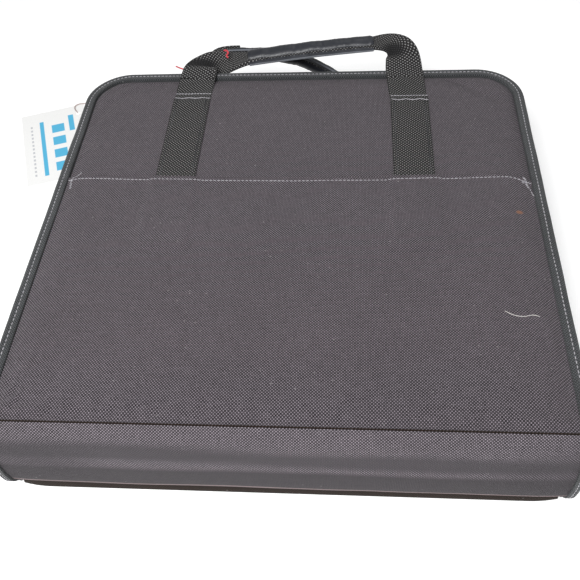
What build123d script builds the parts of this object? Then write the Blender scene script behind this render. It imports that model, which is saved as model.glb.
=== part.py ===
from build123d import *
from math import pi, radians, tan
import os

# Zip-round portfolio case lying on its back cover. X runs along the spine, Y from the spine
# to the handles, Z up. The origin is the centre of the face that the case rests on.

os.makedirs("parts", exist_ok=True)

# Overall size, in millimetres
case_width = 380.0
case_depth = 352.0
case_height = 88.0
corner_radius = 38.0

# Layers of each panel, from the outside in
skin_thick = 1.2
foam_thick = 3.0
board_thick = 2.0
lining_thick = 0.8

# Tape that binds the edges
binding_width = 8.5
binding_proud = 0.8
spine_binding_width = 5.0
spine_binding_proud = 0.6

# Wall between the covers, and the zip at half its height
wall_thick = 3.0
wall_inset = 0.6
tape_thick = 1.0
tape_height = 5.0
coil_thick = 2.6
coil_height = 2.0
coil_gap = 2.0
stop_length = 3.0

# Spine
spine_bulge = 6.0
fold_gap = 1.6
layer_gap = 0.1
hinge_clear = 0.6
wall_start = 6.0

# Zip sliders and their pulls
slider_length = 14.0
slider_height = 13.0
slider_plate = 1.2
slider_clearance = 1.0
slider_gap = 2.0
slider_post = 1.2
bridge_length = 10.0
bridge_width = 3.0
bridge_bar = 1.4
pull_length = 27.0
pull_width = 9.0
pull_thick = 1.2
pull_slot = 4.6
pull_clear = 1.2

# Webbing and handles
webbing_width = 32.0
webbing_thick = 1.6
strap_spacing = 187.0
strap_tack_y = 138.0
strap_under_pocket = 78.5
strap_clearance = 0.3
rear_strap_length = 230.0
core_width = 15.0
core_thick = 5.0
grip_width = 20.0
grip_thick = 12.0
grip_length = 113.0
folded_width = 27.0
grip_clearance = 0.3
hinge_reach = 2.0

# Pockets and inside straps
pocket_hem_y = 41.5
pocket_thick = 1.0
pocket_border = 4.0
pocket_room = 2.3
inner_pocket_width = 300.0
inner_pocket_depth = 215.0
inner_pocket_margin = 2.0
inner_pocket_room = 1.6
band_width = 25.0
band_thick = 1.2
band_spacing = 130.0

# Hang tag on its string
tag_width = 66.0
tag_height = 112.0
tag_thick = 0.6
tag_angle = 19.1
tag_gap = 79.0
tag_corner_y = 120.0
tag_hole_radius = 2.2
tag_hole_place = (59.0, 98.0)
string_diameter = 1.2

# Levels and edges that follow from the sizes
cover_thick = skin_thick + foam_thick + board_thick + lining_thick
pad_thick = skin_thick + foam_thick
near_y = -case_depth / 2
far_y = case_depth / 2
zip_z = case_height / 2
half_spacing = strap_spacing / 2
panel_inset = binding_width + layer_gap
inside_inset = wall_inset + wall_thick + layer_gap
coil_low = zip_z - coil_gap / 2 - coil_height
tape_low = coil_low - tape_height
binding_low = webbing_thick + 0.4
panel_near = near_y + hinge_clear
layer_near = near_y + 4.5
inner_pocket_start = layer_near + inner_pocket_margin


def outline(inset, near):
    """The case's plan, square at the spine and rounded at the far corners, moved in by inset."""
    half = case_width / 2 - inset
    far = far_y - inset
    with BuildSketch() as plan:
        with BuildLine():
            FilletPolyline(
                (-half, near), (-half, far), (half, far), (half, near), radius=corner_radius - inset
            )
            Line((half, near), (-half, near))
        make_face()
    return plan.sketch


def rim(outer, inner, near):
    """A band that follows the plan round three sides, open at the spine."""
    with BuildSketch() as plan:
        add(outline(outer, near))
        add(outline(inner, near - 1), mode=Mode.SUBTRACT)
    return plan.sketch


def finish(part, label):
    """Names a finished piece and writes it."""
    part.label = label
    export_step(part, f"parts/{label}.step")


def level(cover, depth, thick):
    """The lower level of a layer that starts depth below a cover's outer face."""
    return depth if cover == "back" else case_height - depth - thick


def strap_beds():
    """The plan of the beds that the straps lie in, pressed into the back cover's padding."""
    start = far_y - rear_strap_length - strap_clearance
    with BuildSketch() as beds:
        with Locations((-half_spacing, start), (half_spacing, start)):
            Rectangle(
                webbing_width + 2 * strap_clearance,
                case_depth,
                align=(Align.CENTER, Align.MIN),
            )
    return beds.sketch


# Covers: a padded outer skin, a stiffening board and a lining, bound round three edges
for cover in ("back", "front"):
    with BuildPart() as skin:
        with BuildSketch(Plane.XY.offset(level(cover, 0, skin_thick))):
            add(outline(panel_inset, panel_near))
        extrude(amount=skin_thick)
        if cover == "back":
            extrude(strap_beds(), amount=webbing_thick + layer_gap, mode=Mode.SUBTRACT)
    finish(skin.part, f"{cover}_cover_skin")

    with BuildPart() as foam:
        with BuildSketch(Plane.XY.offset(level(cover, skin_thick, foam_thick))):
            add(outline(panel_inset, layer_near))
        extrude(amount=foam_thick)
        if cover == "back":
            extrude(strap_beds(), amount=webbing_thick + layer_gap, mode=Mode.SUBTRACT)
    finish(foam.part, f"{cover}_cover_foam")

    with BuildPart() as board:
        with BuildSketch(Plane.XY.offset(level(cover, pad_thick, board_thick))):
            add(outline(inside_inset, layer_near))
        extrude(amount=board_thick)
    finish(board.part, f"{cover}_cover_board")

    with BuildPart() as lining:
        with BuildSketch(Plane.XY.offset(level(cover, pad_thick + board_thick, lining_thick))):
            add(outline(inside_inset, layer_near))
        extrude(amount=lining_thick)
    finish(lining.part, f"{cover}_cover_lining")

with BuildPart() as back_binding:
    with BuildSketch(Plane.XY.offset(binding_low)):
        add(rim(0, binding_width, layer_near))
    extrude(amount=pad_thick - binding_low)
finish(back_binding.part, "back_cover_binding")

with BuildPart() as front_binding:
    with BuildSketch(Plane.XY.offset(case_height - pad_thick)):
        add(rim(0, binding_width, layer_near))
    extrude(amount=pad_thick + binding_proud)
finish(front_binding.part, "front_cover_binding")

# Wall and zip: a strip on each cover, its tape and its coil, meeting at half height
wall_inner = wall_inset + wall_thick
tape_outer = wall_inset + (wall_thick - tape_thick) / 2
coil_outer = wall_inset + (wall_thick - coil_thick) / 2
coil_inner = coil_outer + coil_thick
wall_near = near_y + wall_start
for cover, side in (("back", "lower"), ("front", "upper")):
    with BuildPart() as wall:
        with BuildSketch(Plane.XY.offset(level(cover, pad_thick, tape_low - pad_thick))):
            add(rim(wall_inset, wall_inner, wall_near))
        extrude(amount=tape_low - pad_thick)
    finish(wall.part, f"{side}_wall")

    with BuildPart() as tape:
        with BuildSketch(Plane.XY.offset(level(cover, tape_low, tape_height))):
            add(rim(tape_outer, tape_outer + tape_thick, wall_near))
        extrude(amount=tape_height)
    finish(tape.part, f"{side}_zip_tape")

    with BuildPart() as coil:
        with BuildSketch(Plane.XY.offset(level(cover, coil_low, coil_height))):
            add(rim(coil_outer, coil_inner, wall_near + stop_length))
        extrude(amount=coil_height)
    finish(coil.part, f"{side}_zip_coil")

    with BuildPart() as stops:
        with BuildSketch(Plane.XY.offset(level(cover, coil_low, coil_height))):
            stop_x = case_width / 2 - (coil_outer + coil_inner) / 2
            with Locations((-stop_x, wall_near), (stop_x, wall_near)):
                Rectangle(coil_thick, stop_length - layer_gap, align=(Align.CENTER, Align.MIN))
        extrude(amount=coil_height)
    finish(stops.part, f"{side}_zip_stops")

# Spine: a bulging padded skin over a flat board and lining, bound at both ends
spine_inner_y = near_y + 4.0
spine_board_y = spine_inner_y - lining_thick
spine_pad_y = spine_board_y - board_thick
spine_low = cover_thick + hinge_clear
spine_half = case_width / 2 - spine_binding_width - layer_gap
fold_y = near_y - 0.5


def bowed_face(inward, back_y, low):
    """The spine's section from its bowed face, moved in by inward, to a flat back, cut off at low."""
    start = fold_y + inward
    with BuildSketch() as section:
        with BuildLine():
            bow = ThreePointArc(
                (start, fold_gap),
                (near_y - spine_bulge + inward, zip_z),
                (start, case_height - fold_gap),
            )
            Polyline(bow @ 1, (back_y, case_height - fold_gap), (back_y, fold_gap), bow @ 0)
        make_face()
        with Locations((near_y, zip_z)):
            Rectangle(4 * spine_bulge, case_height - 2 * low, mode=Mode.INTERSECT)
    return section.sketch


with BuildPart() as spine_skin:
    with BuildSketch(Plane.YZ.offset(-spine_half)):
        with BuildLine():
            outer_bow = ThreePointArc(
                (fold_y, fold_gap),
                (near_y - spine_bulge, zip_z),
                (fold_y, case_height - fold_gap),
            )
            inner_bow = ThreePointArc(
                (fold_y + skin_thick, fold_gap),
                (near_y - spine_bulge + skin_thick, zip_z),
                (fold_y + skin_thick, case_height - fold_gap),
            )
            Line(outer_bow @ 0, inner_bow @ 0)
            Line(outer_bow @ 1, inner_bow @ 1)
        make_face()
    extrude(amount=2 * spine_half)
finish(spine_skin.part, "spine_skin")

with BuildPart() as spine_foam:
    with BuildSketch(Plane.YZ.offset(-spine_half)):
        add(bowed_face(skin_thick + layer_gap, spine_pad_y - layer_gap, spine_low))
    extrude(amount=2 * spine_half)
finish(spine_foam.part, "spine_foam")

for label, front_y, thick in (
    ("spine_board", spine_pad_y, board_thick),
    ("spine_lining", spine_board_y, lining_thick),
):
    with BuildPart() as flat:
        with BuildSketch(Plane.XZ.offset(-front_y)):
            with Locations((0, zip_z)):
                Rectangle(2 * spine_half, case_height - 2 * spine_low)
        extrude(amount=-thick)
    finish(flat.part, label)

with BuildPart() as spine_bindings:
    for end in (-1, 1):
        with BuildSketch(Plane.YZ.offset(end * case_width / 2)):
            add(bowed_face(-spine_binding_proud, spine_inner_y, pad_thick + hinge_clear))
        extrude(amount=-end * spine_binding_width)
finish(spine_bindings.part, "spine_end_bindings")


def pocket(width, start, hem, low, room, up):
    """A shallow slip pocket on a cover's face at level low, sewn round three sides, open at the hem."""
    with BuildPart() as tray:
        with BuildSketch(Plane.XY.offset(low)):
            with Locations((0, start)):
                Rectangle(width, hem - start, align=(Align.CENTER, Align.MIN))
        extrude(amount=up * (room + pocket_thick))
        with BuildSketch(Plane.XY.offset(low)):
            with Locations((0, start + pocket_border)):
                Rectangle(width - 2 * pocket_border, hem - start, align=(Align.CENTER, Align.MIN))
        extrude(amount=up * room, mode=Mode.SUBTRACT)
    return tray.part


front_pocket = pocket(
    case_width - 2 * panel_inset - 2 * layer_gap,
    near_y + hinge_clear,
    pocket_hem_y,
    case_height,
    pocket_room,
    1,
)
finish(front_pocket, "front_pocket")

inner_pocket = pocket(
    inner_pocket_width,
    inner_pocket_start,
    inner_pocket_start + inner_pocket_depth,
    case_height - cover_thick,
    inner_pocket_room,
    -1,
)
finish(inner_pocket, "inner_pocket")

# Elastic bands across the lining of the back cover, which hold the sheets down
with BuildPart() as bands:
    with BuildSketch(Plane.XY.offset(cover_thick)):
        with GridLocations(0, band_spacing, 1, 2):
            Rectangle(case_width - 2 * inside_inset - 2 * layer_gap, band_width)
    extrude(amount=band_thick)
finish(bands.part, "inside_bands")

# Straps: flat webbing sewn to the covers, which runs on into the handles
front_strap_start = pocket_hem_y - strap_under_pocket
rear_tack_y = far_y + webbing_thick
for side, x in (("left", -half_spacing), ("right", half_spacing)):
    with BuildPart() as strap:
        with BuildSketch(Plane.XY.offset(case_height)):
            with Locations((x, front_strap_start)):
                Rectangle(
                    webbing_width,
                    strap_tack_y - front_strap_start,
                    align=(Align.CENTER, Align.MIN),
                )
        extrude(amount=webbing_thick)
    finish(strap.part, f"front_strap_{side}")

    with BuildPart() as strap:
        with BuildSketch(Plane.XY):
            with Locations((x, rear_tack_y)):
                Rectangle(webbing_width, rear_strap_length, align=(Align.CENTER, Align.MAX))
        extrude(amount=webbing_thick)
    finish(strap.part, f"rear_strap_{side}")


def leg(points, start_along, end_along, facing):
    """A webbing leg through four points, flat at the strap and folded narrow at the grip."""
    ways = [
        start_along,
        (points[2] - points[0]).normalized(),
        (points[3] - points[1]).normalized(),
        end_along,
    ]
    sizes = [
        (webbing_width, webbing_thick),
        (webbing_width, webbing_thick),
        (folded_width, 2 * webbing_thick),
        (core_width, core_thick),
    ]
    slices = []
    for i, (point, way, size) in enumerate(zip(points, ways, sizes)):
        width_way = way.cross(facing) if i else Vector(1, 0, 0)
        with BuildSketch(Plane(origin=point, x_dir=width_way, z_dir=way)) as cut:
            Rectangle(*size)
        slices.append(cut.sketch)
    with BuildPart() as piece:
        loft(slices, ruled=True)
    return piece.part


def handle(name, grip_left, along, start_along, left_points, right_points):
    """A carrying handle: webbing with two legs and a folded middle, and the grip sewn round it."""
    facing = along.cross(start_along).normalized()
    across = facing.cross(along)
    grip_right = grip_left + along * grip_length
    across_plane = Plane(origin=grip_left, x_dir=across, z_dir=along)
    left_points = left_points + [grip_left]
    right_points = right_points + [grip_right]
    with BuildPart() as webbing:
        with BuildSketch(across_plane):
            Rectangle(core_width, core_thick)
        extrude(amount=grip_length)
        add(leg(left_points, start_along, along, facing))
        add(leg(right_points, start_along, along * -1, facing))
    finish(webbing.part, f"{name}_handle_webbing")

    with BuildPart() as grip:
        with BuildSketch(across_plane):
            RectangleRounded(grip_width, grip_thick, grip_thick / 2 - grip_clearance)
            Rectangle(
                core_width + 2 * grip_clearance,
                core_thick + 2 * grip_clearance,
                mode=Mode.SUBTRACT,
            )
        extrude(amount=grip_length)
    finish(grip.part, f"{name}_handle_grip")


# The front handle lies out over the far edge
front_hinge = Vector(0, strap_tack_y + hinge_reach, case_height + webbing_thick / 2 + strap_clearance)
front_grip_left = Vector(-half_spacing + 45, far_y + 12.5, case_height + 6)
front_along = Vector(112.5, 12, 5).normalized()
front_grip_right = front_grip_left + front_along * grip_length
handle(
    "front",
    front_grip_left,
    front_along,
    Vector(0, 1, 0),
    [
        front_hinge - Vector(half_spacing, 0, 0),
        Vector(-half_spacing + 1, far_y - 4, case_height + 4),
        front_grip_left + Vector(-29, -2, 1),
    ],
    [
        front_hinge + Vector(half_spacing, 0, 0),
        Vector(half_spacing + 2.5, far_y - 4, case_height + 7),
        front_grip_right + Vector(23, -5, 5),
    ],
)

# The rear handle stands up behind the case, bent at the lower far edge
rear_hinge = Vector(0, far_y + 2, 2.5)
rear_grip_left = Vector(-half_spacing + 19.5, far_y + 41, case_height - 10)
rear_along = Vector(108, -6, -16).normalized()
rear_grip_right = rear_grip_left + rear_along * grip_length
rear_start = Vector(0, 0.5, 0.87).normalized()
handle(
    "rear",
    rear_grip_left,
    rear_along,
    rear_start,
    [
        rear_hinge - Vector(half_spacing, 0, 0),
        rear_hinge + Vector(-half_spacing + 1, 22, 38),
        rear_grip_left + Vector(-11, -3, -8),
    ],
    [
        rear_hinge + Vector(half_spacing, 0, 0),
        rear_hinge + Vector(half_spacing - 12, 18, 30),
        rear_grip_right + Vector(15, -4, -5),
    ],
)

# Two zip sliders that meet in the middle of the far side, each with its pull
slider_inner_y = far_y - coil_inner - slider_clearance
slider_outer_y = far_y - coil_outer + slider_clearance
pull_axis_y = slider_outer_y + slider_plate + pull_clear + pull_thick / 2
bridge_y = pull_axis_y + pull_thick / 2 + pull_clear
pull_bar = 2 * pull_thick


def box(low, high):
    """A plain block between two corners."""
    size = Vector(*high) - Vector(*low)
    middle = Vector(*low) + size * 0.5
    with Locations(Pos(*middle)):
        Box(abs(size.X), abs(size.Y), abs(size.Z))


for side, way in (("left", -1), ("right", 1)):
    slider_x = way * (slider_gap + slider_length) / 2
    x_near = slider_x - slider_length / 2
    x_far = slider_x + slider_length / 2
    z_low = zip_z - slider_height / 2
    z_high = zip_z + slider_height / 2
    post_z = slider_post / 2
    rail_z = bridge_width / 2
    with BuildPart() as slider:
        box((x_near, slider_inner_y - slider_plate, z_low), (x_far, slider_inner_y, z_high))
        box((x_near, slider_outer_y, z_low), (x_far, slider_outer_y + slider_plate, z_high))
        box(
            (slider_x - bridge_length / 4, slider_inner_y, zip_z - post_z),
            (slider_x + bridge_length / 4, slider_outer_y, zip_z + post_z),
        )
        for end in (-1, 1):
            leg_x = slider_x + end * (bridge_length - bridge_bar) / 2
            box(
                (leg_x - bridge_bar / 2, slider_outer_y + slider_plate, zip_z - rail_z),
                (leg_x + bridge_bar / 2, bridge_y, zip_z + rail_z),
            )
        box(
            (slider_x - bridge_length / 2, bridge_y, zip_z - rail_z),
            (slider_x + bridge_length / 2, bridge_y + bridge_bar, zip_z + rail_z),
        )
    finish(slider.part, f"zip_slider_{side}")

    tip_x = slider_x + way * (pull_length - pull_bar / 2)
    heel_x = slider_x - way * pull_bar / 2
    slot_far = slider_x + way * (bridge_length - bridge_bar)
    slot_near = slider_x + way * pull_bar / 2
    with BuildPart() as pull:
        with BuildSketch(Plane.XZ.offset(-(pull_axis_y - pull_thick / 2))):
            with Locations(((tip_x + heel_x) / 2, zip_z)):
                RectangleRounded(pull_length, pull_width, pull_bar / 2)
            with Locations(((slot_far + slot_near) / 2, zip_z)):
                Rectangle(abs(slot_far - slot_near), pull_slot, mode=Mode.SUBTRACT)
        extrude(amount=-pull_thick)
    finish(pull.part, f"zip_pull_{side}")

# A hang tag lies on the table beside the case, on a string from the rear handle's strap
tag_corner = (-case_width / 2 - tag_gap, tag_corner_y, 0)
tag_plane = Plane(origin=tag_corner, z_dir=(0, 0, 1)).rotated((0, 0, tag_angle))
with BuildPart() as tag:
    with BuildSketch(tag_plane):
        Rectangle(tag_width, tag_height, align=(Align.MIN, Align.MIN))
        with Locations(tag_hole_place):
            Circle(tag_hole_radius, mode=Mode.SUBTRACT)
    extrude(amount=tag_thick)
finish(tag.part, "hang_tag")

strap_edge = -half_spacing - webbing_width / 2
case_edge = -case_width / 2
string_points = [
    (strap_edge + 4.5, 177.7, 0.8),
    (strap_edge + 3.0, 188.0, 0.8),
    (strap_edge - 7.5, 203.0, 0.8),
    (case_edge + 51.0, 213.0, 0.8),
    (case_edge + 23.0, 218.0, 0.8),
    (case_edge - 5.0, 229.0, 0.8),
    (case_edge - 31.0, 243.0, 0.9),
    (case_edge - 54.0, 249.0, 1.4),
    (case_edge - 64.0, 241.0, 1.6),
    (case_edge - 55.3, 231.9, 1.3),
]
runs = [Vector(*b) - Vector(*a) for a, b in zip(string_points, string_points[1:])]
string_radii = [
    0.45 * min(a.length, b.length) / tan(radians(a.get_angle(b) / 2)) for a, b in zip(runs, runs[1:])
]
print("string radii", [round(r, 1) for r in string_radii])
with BuildPart() as string:
    with BuildLine() as string_path:
        FilletPolyline(*string_points, radius=string_radii)
    with BuildSketch(Plane(origin=string_path.line @ 0, z_dir=string_path.line % 0)):
        Circle(string_diameter / 2)
    sweep()
string_length = string_path.wire().length
string_section = pi * (string_diameter / 2) ** 2
print("string length", round(string_length, 1))
print("string volume over section", round(string.part.volume / string_section, 1))
finish(string.part, "tag_string")
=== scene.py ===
"""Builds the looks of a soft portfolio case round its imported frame: cloth, tape, webbing, leather and zip."""

import bmesh
import bpy
import math
import numpy as np
from mathutils import Matrix, Vector, noise
from mathutils.bvhtree import BVHTree


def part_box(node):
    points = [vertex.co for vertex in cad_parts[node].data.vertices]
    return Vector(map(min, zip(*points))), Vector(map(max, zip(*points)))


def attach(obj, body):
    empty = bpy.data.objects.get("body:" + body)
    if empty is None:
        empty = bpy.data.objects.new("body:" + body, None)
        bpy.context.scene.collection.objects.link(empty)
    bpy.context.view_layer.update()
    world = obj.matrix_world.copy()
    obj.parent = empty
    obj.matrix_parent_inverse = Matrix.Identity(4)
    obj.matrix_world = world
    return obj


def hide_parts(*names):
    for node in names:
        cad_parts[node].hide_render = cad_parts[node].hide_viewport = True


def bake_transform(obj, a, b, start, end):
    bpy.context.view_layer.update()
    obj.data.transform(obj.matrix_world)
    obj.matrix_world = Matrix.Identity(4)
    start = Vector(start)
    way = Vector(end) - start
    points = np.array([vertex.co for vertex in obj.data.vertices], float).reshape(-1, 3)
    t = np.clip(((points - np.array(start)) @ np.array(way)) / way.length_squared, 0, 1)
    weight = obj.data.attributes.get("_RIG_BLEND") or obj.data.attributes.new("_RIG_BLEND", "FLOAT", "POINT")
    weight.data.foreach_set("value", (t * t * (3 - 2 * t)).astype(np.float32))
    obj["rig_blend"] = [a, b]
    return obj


bl_info = {
    "name": "Portfolio Case Looks",
    "version": (1, 0, 0),
    "blender": (4, 5, 0),
    "location": "3D View > Sidebar > Portfolio Case",
    "description": "Cloth, webbing, leather and zip of a soft portfolio case, built round its frame",
    "category": "Object",
}

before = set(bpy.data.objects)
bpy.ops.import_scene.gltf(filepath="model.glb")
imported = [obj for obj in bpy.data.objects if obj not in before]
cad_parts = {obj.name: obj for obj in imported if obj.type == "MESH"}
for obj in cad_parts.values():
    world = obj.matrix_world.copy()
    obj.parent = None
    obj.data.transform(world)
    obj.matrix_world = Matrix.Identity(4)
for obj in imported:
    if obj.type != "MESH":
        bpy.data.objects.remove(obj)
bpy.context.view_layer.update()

# Places that the frame gives, in metres
plan_low, plan_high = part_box("front_cover_binding")
front_skin_low, front_skin_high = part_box("front_cover_skin")
spine_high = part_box("spine_skin")[1]
case_half = plan_high.x
case_far = plan_high.y
case_near = -case_far
case_top = front_skin_high.z
binding_start = plan_low.y
panel_inset = case_half - front_skin_high.x
pad_under_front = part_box("front_cover_foam")[0].z
pad_over_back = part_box("back_cover_foam")[1].z
corner_radius = 0.038
MM = 0.001

# Shared sizes of the sewn work, in metres
BINDING_SEAM = 0.0045  # from the plan's edge to the stitches of the binding
TACK_HALF = 0.0145  # half the length of a row of stitches across a strap
TACK_PITCH = 0.0027
HEM_FOLD = 0.0054  # depth of the front pocket's hem
HEM_SEAM = 0.0042  # from the hem's edge to its stitches
GRIP_LENGTH = 0.113
PLATE = 0.0012  # thickness of a slider's plates
SHOULDER = 0.0028  # how far below the case's top the front cover's face ends
PUFF_FRAMES = 20  # how long the cloth simulation runs
QUIET_TONE = 0.13  # how light cloth is where its weave doesn't show
WHITE = (1.0, 1.0, 1.0, 1.0)
UP, DOWN = (0, 0, 1), (0, 0, -1)

# How finely the line round three sides is cut: the length of its straight steps, and the steps in a corner
RIM_STEP = 0.006
RIM_TURN = 16

# Surfaces that later pieces lie on, and shared shapes, kept while the pieces are made
lie_on = {}
shared = {}


def length(label, description, default, least):
    """A length that the panel can change."""
    return bpy.props.FloatProperty(
        name=label, description=description, default=default, min=least, subtype="DISTANCE", unit="LENGTH"
    )


def swatch(label, description, default):
    """A colour that the panel can change."""
    return bpy.props.FloatVectorProperty(
        name=label, description=description, default=default, size=3, min=0.0, max=1.0, subtype="COLOR"
    )


class CaseSizes(bpy.types.PropertyGroup):
    """Sizes of the details that are built round the frame."""

    thread_pitch: length("Thread pitch", "Distance between threads of the outer cloth", 0.00104, 0.0002)
    webbing_pitch: length("Webbing pitch", "Distance between threads of the webbing", 0.00145, 0.0002)
    stitch_pitch: length("Stitch pitch", "Distance from one stitch to the next", 0.0034, 0.001)
    tooth_pitch: length("Tooth pitch", "Distance from one turn of the zip's coil to the next", 0.0021, 0.001)
    pad_rise: length("Pad rise", "How far the padded covers may crown above their edges", 0.0018, 0.0)
    hem_sag: length("Hem sag", "How far the middle of the pocket's hem sags towards the spine", 0.0055, 0.0)
    spine_bulge: length("Spine bulge", "How far the padded spine stands out, low down on its face", 0.0120, 0.0)


class CaseColours(bpy.types.PropertyGroup):
    """Colours of the case, as linear values."""

    cloth: swatch("Outer cloth", "Colour of the raised threads of the outer cloth", (0.262, 0.226, 0.258))
    tape: swatch("Binding tape", "Colour of the tape round the edges", (0.122, 0.130, 0.138))
    webbing: swatch("Webbing", "Colour of the raised threads of the webbing", (0.305, 0.300, 0.300))
    leather: swatch("Leather", "Colour of the grips", (0.012, 0.014, 0.020))
    thread: swatch("Sewing thread", "Colour of the stitches", (0.42, 0.41, 0.44))
    lining: swatch("Lining", "Colour of the lining inside", (0.060, 0.060, 0.066))
    print_ink: swatch("Tag ink", "Colour of the bars printed on the hang tag", (0.09, 0.46, 0.71))


# Shader building


class Wiring:
    """Adds nodes to a tree and joins them up."""

    def __init__(self, tree):
        self.tree = tree

    def node(self, kind, inputs=None, **settings):
        made = self.tree.nodes.new(kind)
        for name, value in settings.items():
            setattr(made, name, value)
        for key, value in (inputs or {}).items():
            if isinstance(value, bpy.types.NodeSocket):
                self.tree.links.new(value, made.inputs[key])
            else:
                made.inputs[key].default_value = value
        return made

    def math(self, operation, a, b=None, c=None):
        given = {i: v for i, v in enumerate((a, b, c)) if v is not None}
        return self.node("ShaderNodeMath", given, operation=operation).outputs[0]

    def mix(self, share, a, b):
        inputs = {"Factor": share, 6: a, 7: b}
        return self.node("ShaderNodeMix", inputs, data_type="RGBA").outputs[2]

    def noise(self, vector, scale, detail=2.0, rough=0.5):
        inputs = {"Vector": vector, "Scale": scale, "Detail": detail, "Roughness": rough}
        return self.node("ShaderNodeTexNoise", inputs).outputs["Fac"]

    def ramp(self, value, low, high):
        inputs = {"Value": value, "From Min": low, "From Max": high}
        return self.node("ShaderNodeMapRange", inputs, interpolation_type="SMOOTHSTEP").outputs[0]

    def parts(self, vector):
        return self.node("ShaderNodeSeparateXYZ", {0: vector}).outputs

    def join(self, x, y, z=0.0):
        return self.node("ShaderNodeCombineXYZ", {0: x, 1: y, 2: z}).outputs[0]

    def link(self, value, socket):
        self.tree.links.new(value, socket)

    def place(self):
        return self.node("ShaderNodeTexCoord").outputs["Object"]

    def flat(self):
        return self.node("ShaderNodeUVMap", uv_map="UVMap").outputs[0]

    def stretched(self, vector, scale):
        return self.node("ShaderNodeMapping", {"Vector": vector, "Scale": scale}).outputs[0]

    def linear(self, value, factor, offset):
        return self.math("ADD", self.math("MULTIPLY", value, factor), offset)

    def vector(self, operation, a, b=None):
        given = {0: a} if b is None else {0: a, 1: b}
        return self.node("ShaderNodeVectorMath", given, operation=operation).outputs

    def use(self, kind, vector, **values):
        """One of the shared groups, read at a vector."""
        return self.node("ShaderNodeGroup", {"Vector": vector, **values}, node_tree=shared[kind]).outputs

    def dress(self, shader, base, rough, height, strength, relief):
        """Gives a shader its colour, roughness and relief."""
        bump = self.node("ShaderNodeBump", {"Strength": strength, "Distance": relief, "Height": height})
        for value, name in ((base, "Base Color"), (rough, "Roughness"), (bump.outputs[0], "Normal")):
            self.link(value, shader.inputs[name])


def group(name, inputs, outputs):
    """A new shader node group with named sockets, its wiring, and its two end nodes."""
    tree = bpy.data.node_groups.new(name, "ShaderNodeTree")
    for label, kind, value in inputs:
        socket = tree.interface.new_socket(label, in_out="INPUT", socket_type=kind)
        if value is not None:
            socket.default_value = value
    for label, kind in outputs:
        tree.interface.new_socket(label, in_out="OUTPUT", socket_type=kind)
    wiring = Wiring(tree)
    return tree, wiring, wiring.node("NodeGroupInput").outputs, wiring.node("NodeGroupOutput").inputs


def weave_group():
    """Plain weave: which thread is on top, how high it stands and how its tone varies."""
    tree, w, given, out = group(
        "Plain_Weave",
        [("Vector", "NodeSocketVector", None), ("Pitch", "NodeSocketFloat", 0.001)],
        [("Height", "NodeSocketFloat"), ("Warp", "NodeSocketFloat"), ("Tone", "NodeSocketFloat")],
    )
    spot = w.parts(given["Vector"])
    wander = w.math("MULTIPLY", w.math("SUBTRACT", w.noise(given["Vector"], 160.0, 1.0), 0.5), 0.5)
    x, y = (w.math("ADD", w.math("DIVIDE", spot[k], given["Pitch"]), wander) for k in (0, 1))
    column, row = w.math("FLOOR", x), w.math("FLOOR", y)
    warp = w.math("LESS_THAN", w.math("FLOORED_MODULO", w.math("ADD", column, row), 2.0), 0.5)
    crowns = []
    for way in (x, y):
        off = w.math("SUBTRACT", w.math("FRACT", way), 0.5)
        crowns.append(w.math("SUBTRACT", 1.0, w.math("MULTIPLY", w.math("MULTIPLY", off, off), 3.6)))
    cell = w.node("ShaderNodeTexWhiteNoise", {"Vector": w.join(column, row)}, noise_dimensions="3D").outputs[0]
    down = w.noise(w.join(column, w.math("MULTIPLY", y, 0.13), 2.0), 0.83, 1.0)
    over = w.noise(w.join(w.math("MULTIPLY", x, 0.13), row, 7.0), 0.83, 1.0)
    yarn = w.math("ADD", w.math("MULTIPLY", down, warp), w.math("MULTIPLY", over, w.math("SUBTRACT", 1.0, warp)))
    cell = w.math("ADD", w.math("MULTIPLY", cell, 0.55), w.math("MULTIPLY", w.ramp(yarn, 0.32, 0.68), 0.45))
    w.link(w.math("MULTIPLY", *crowns), out["Height"])
    w.link(warp, out["Warp"])
    w.link(cell, out["Tone"])
    return tree


def cloud_group():
    """Soft, uneven patches, as handling and fading leave on cloth."""
    tree, w, given, out = group(
        "Uneven_Tone",
        [
            ("Vector", "NodeSocketVector", None),
            ("Scale", "NodeSocketFloat", 12.0),
            ("Amount", "NodeSocketFloat", 0.3),
        ],
        [("Tone", "NodeSocketFloat")],
    )
    broad = w.noise(given["Vector"], given["Scale"], 3.0, 0.6)
    fine = w.noise(given["Vector"], w.math("MULTIPLY", given["Scale"], 9.0), 2.0, 0.6)
    both = w.math("ADD", w.math("MULTIPLY", broad, 0.65), w.math("MULTIPLY", fine, 0.35))
    centred = w.math("MULTIPLY", w.math("SUBTRACT", both, 0.5), given["Amount"])
    w.link(w.math("ADD", centred, 1.0), out["Tone"])
    return tree


def dust_group():
    """Lint and dust: small pale flecks scattered over a surface."""
    tree, w, given, out = group(
        "Dust_Flecks",
        [
            ("Vector", "NodeSocketVector", None),
            ("Spread", "NodeSocketFloat", 260.0),
            ("Size", "NodeSocketFloat", 0.16),
        ],
        [("Mask", "NodeSocketFloat")],
    )
    cells = w.node("ShaderNodeTexVoronoi", {"Vector": given["Vector"], "Scale": given["Spread"]})
    near = w.math("LESS_THAN", cells.outputs["Distance"], given["Size"])
    rare = w.math("GREATER_THAN", w.parts(cells.outputs["Color"])[0], 0.86)
    patch = w.ramp(w.noise(given["Vector"], 22.0), 0.42, 0.62)
    w.link(w.math("MULTIPLY", w.math("MULTIPLY", near, rare), patch), out["Mask"])
    return tree


def blank_material(name):
    """A material with only its output and its Principled shader."""
    made = bpy.data.materials.new(name)
    made.use_nodes = True
    made.node_tree.nodes.clear()
    w = Wiring(made.node_tree)
    shader = w.node("ShaderNodeBsdfPrincipled")
    w.node("ShaderNodeOutputMaterial", {"Surface": shader.outputs[0]})
    return made, w, shader


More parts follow.
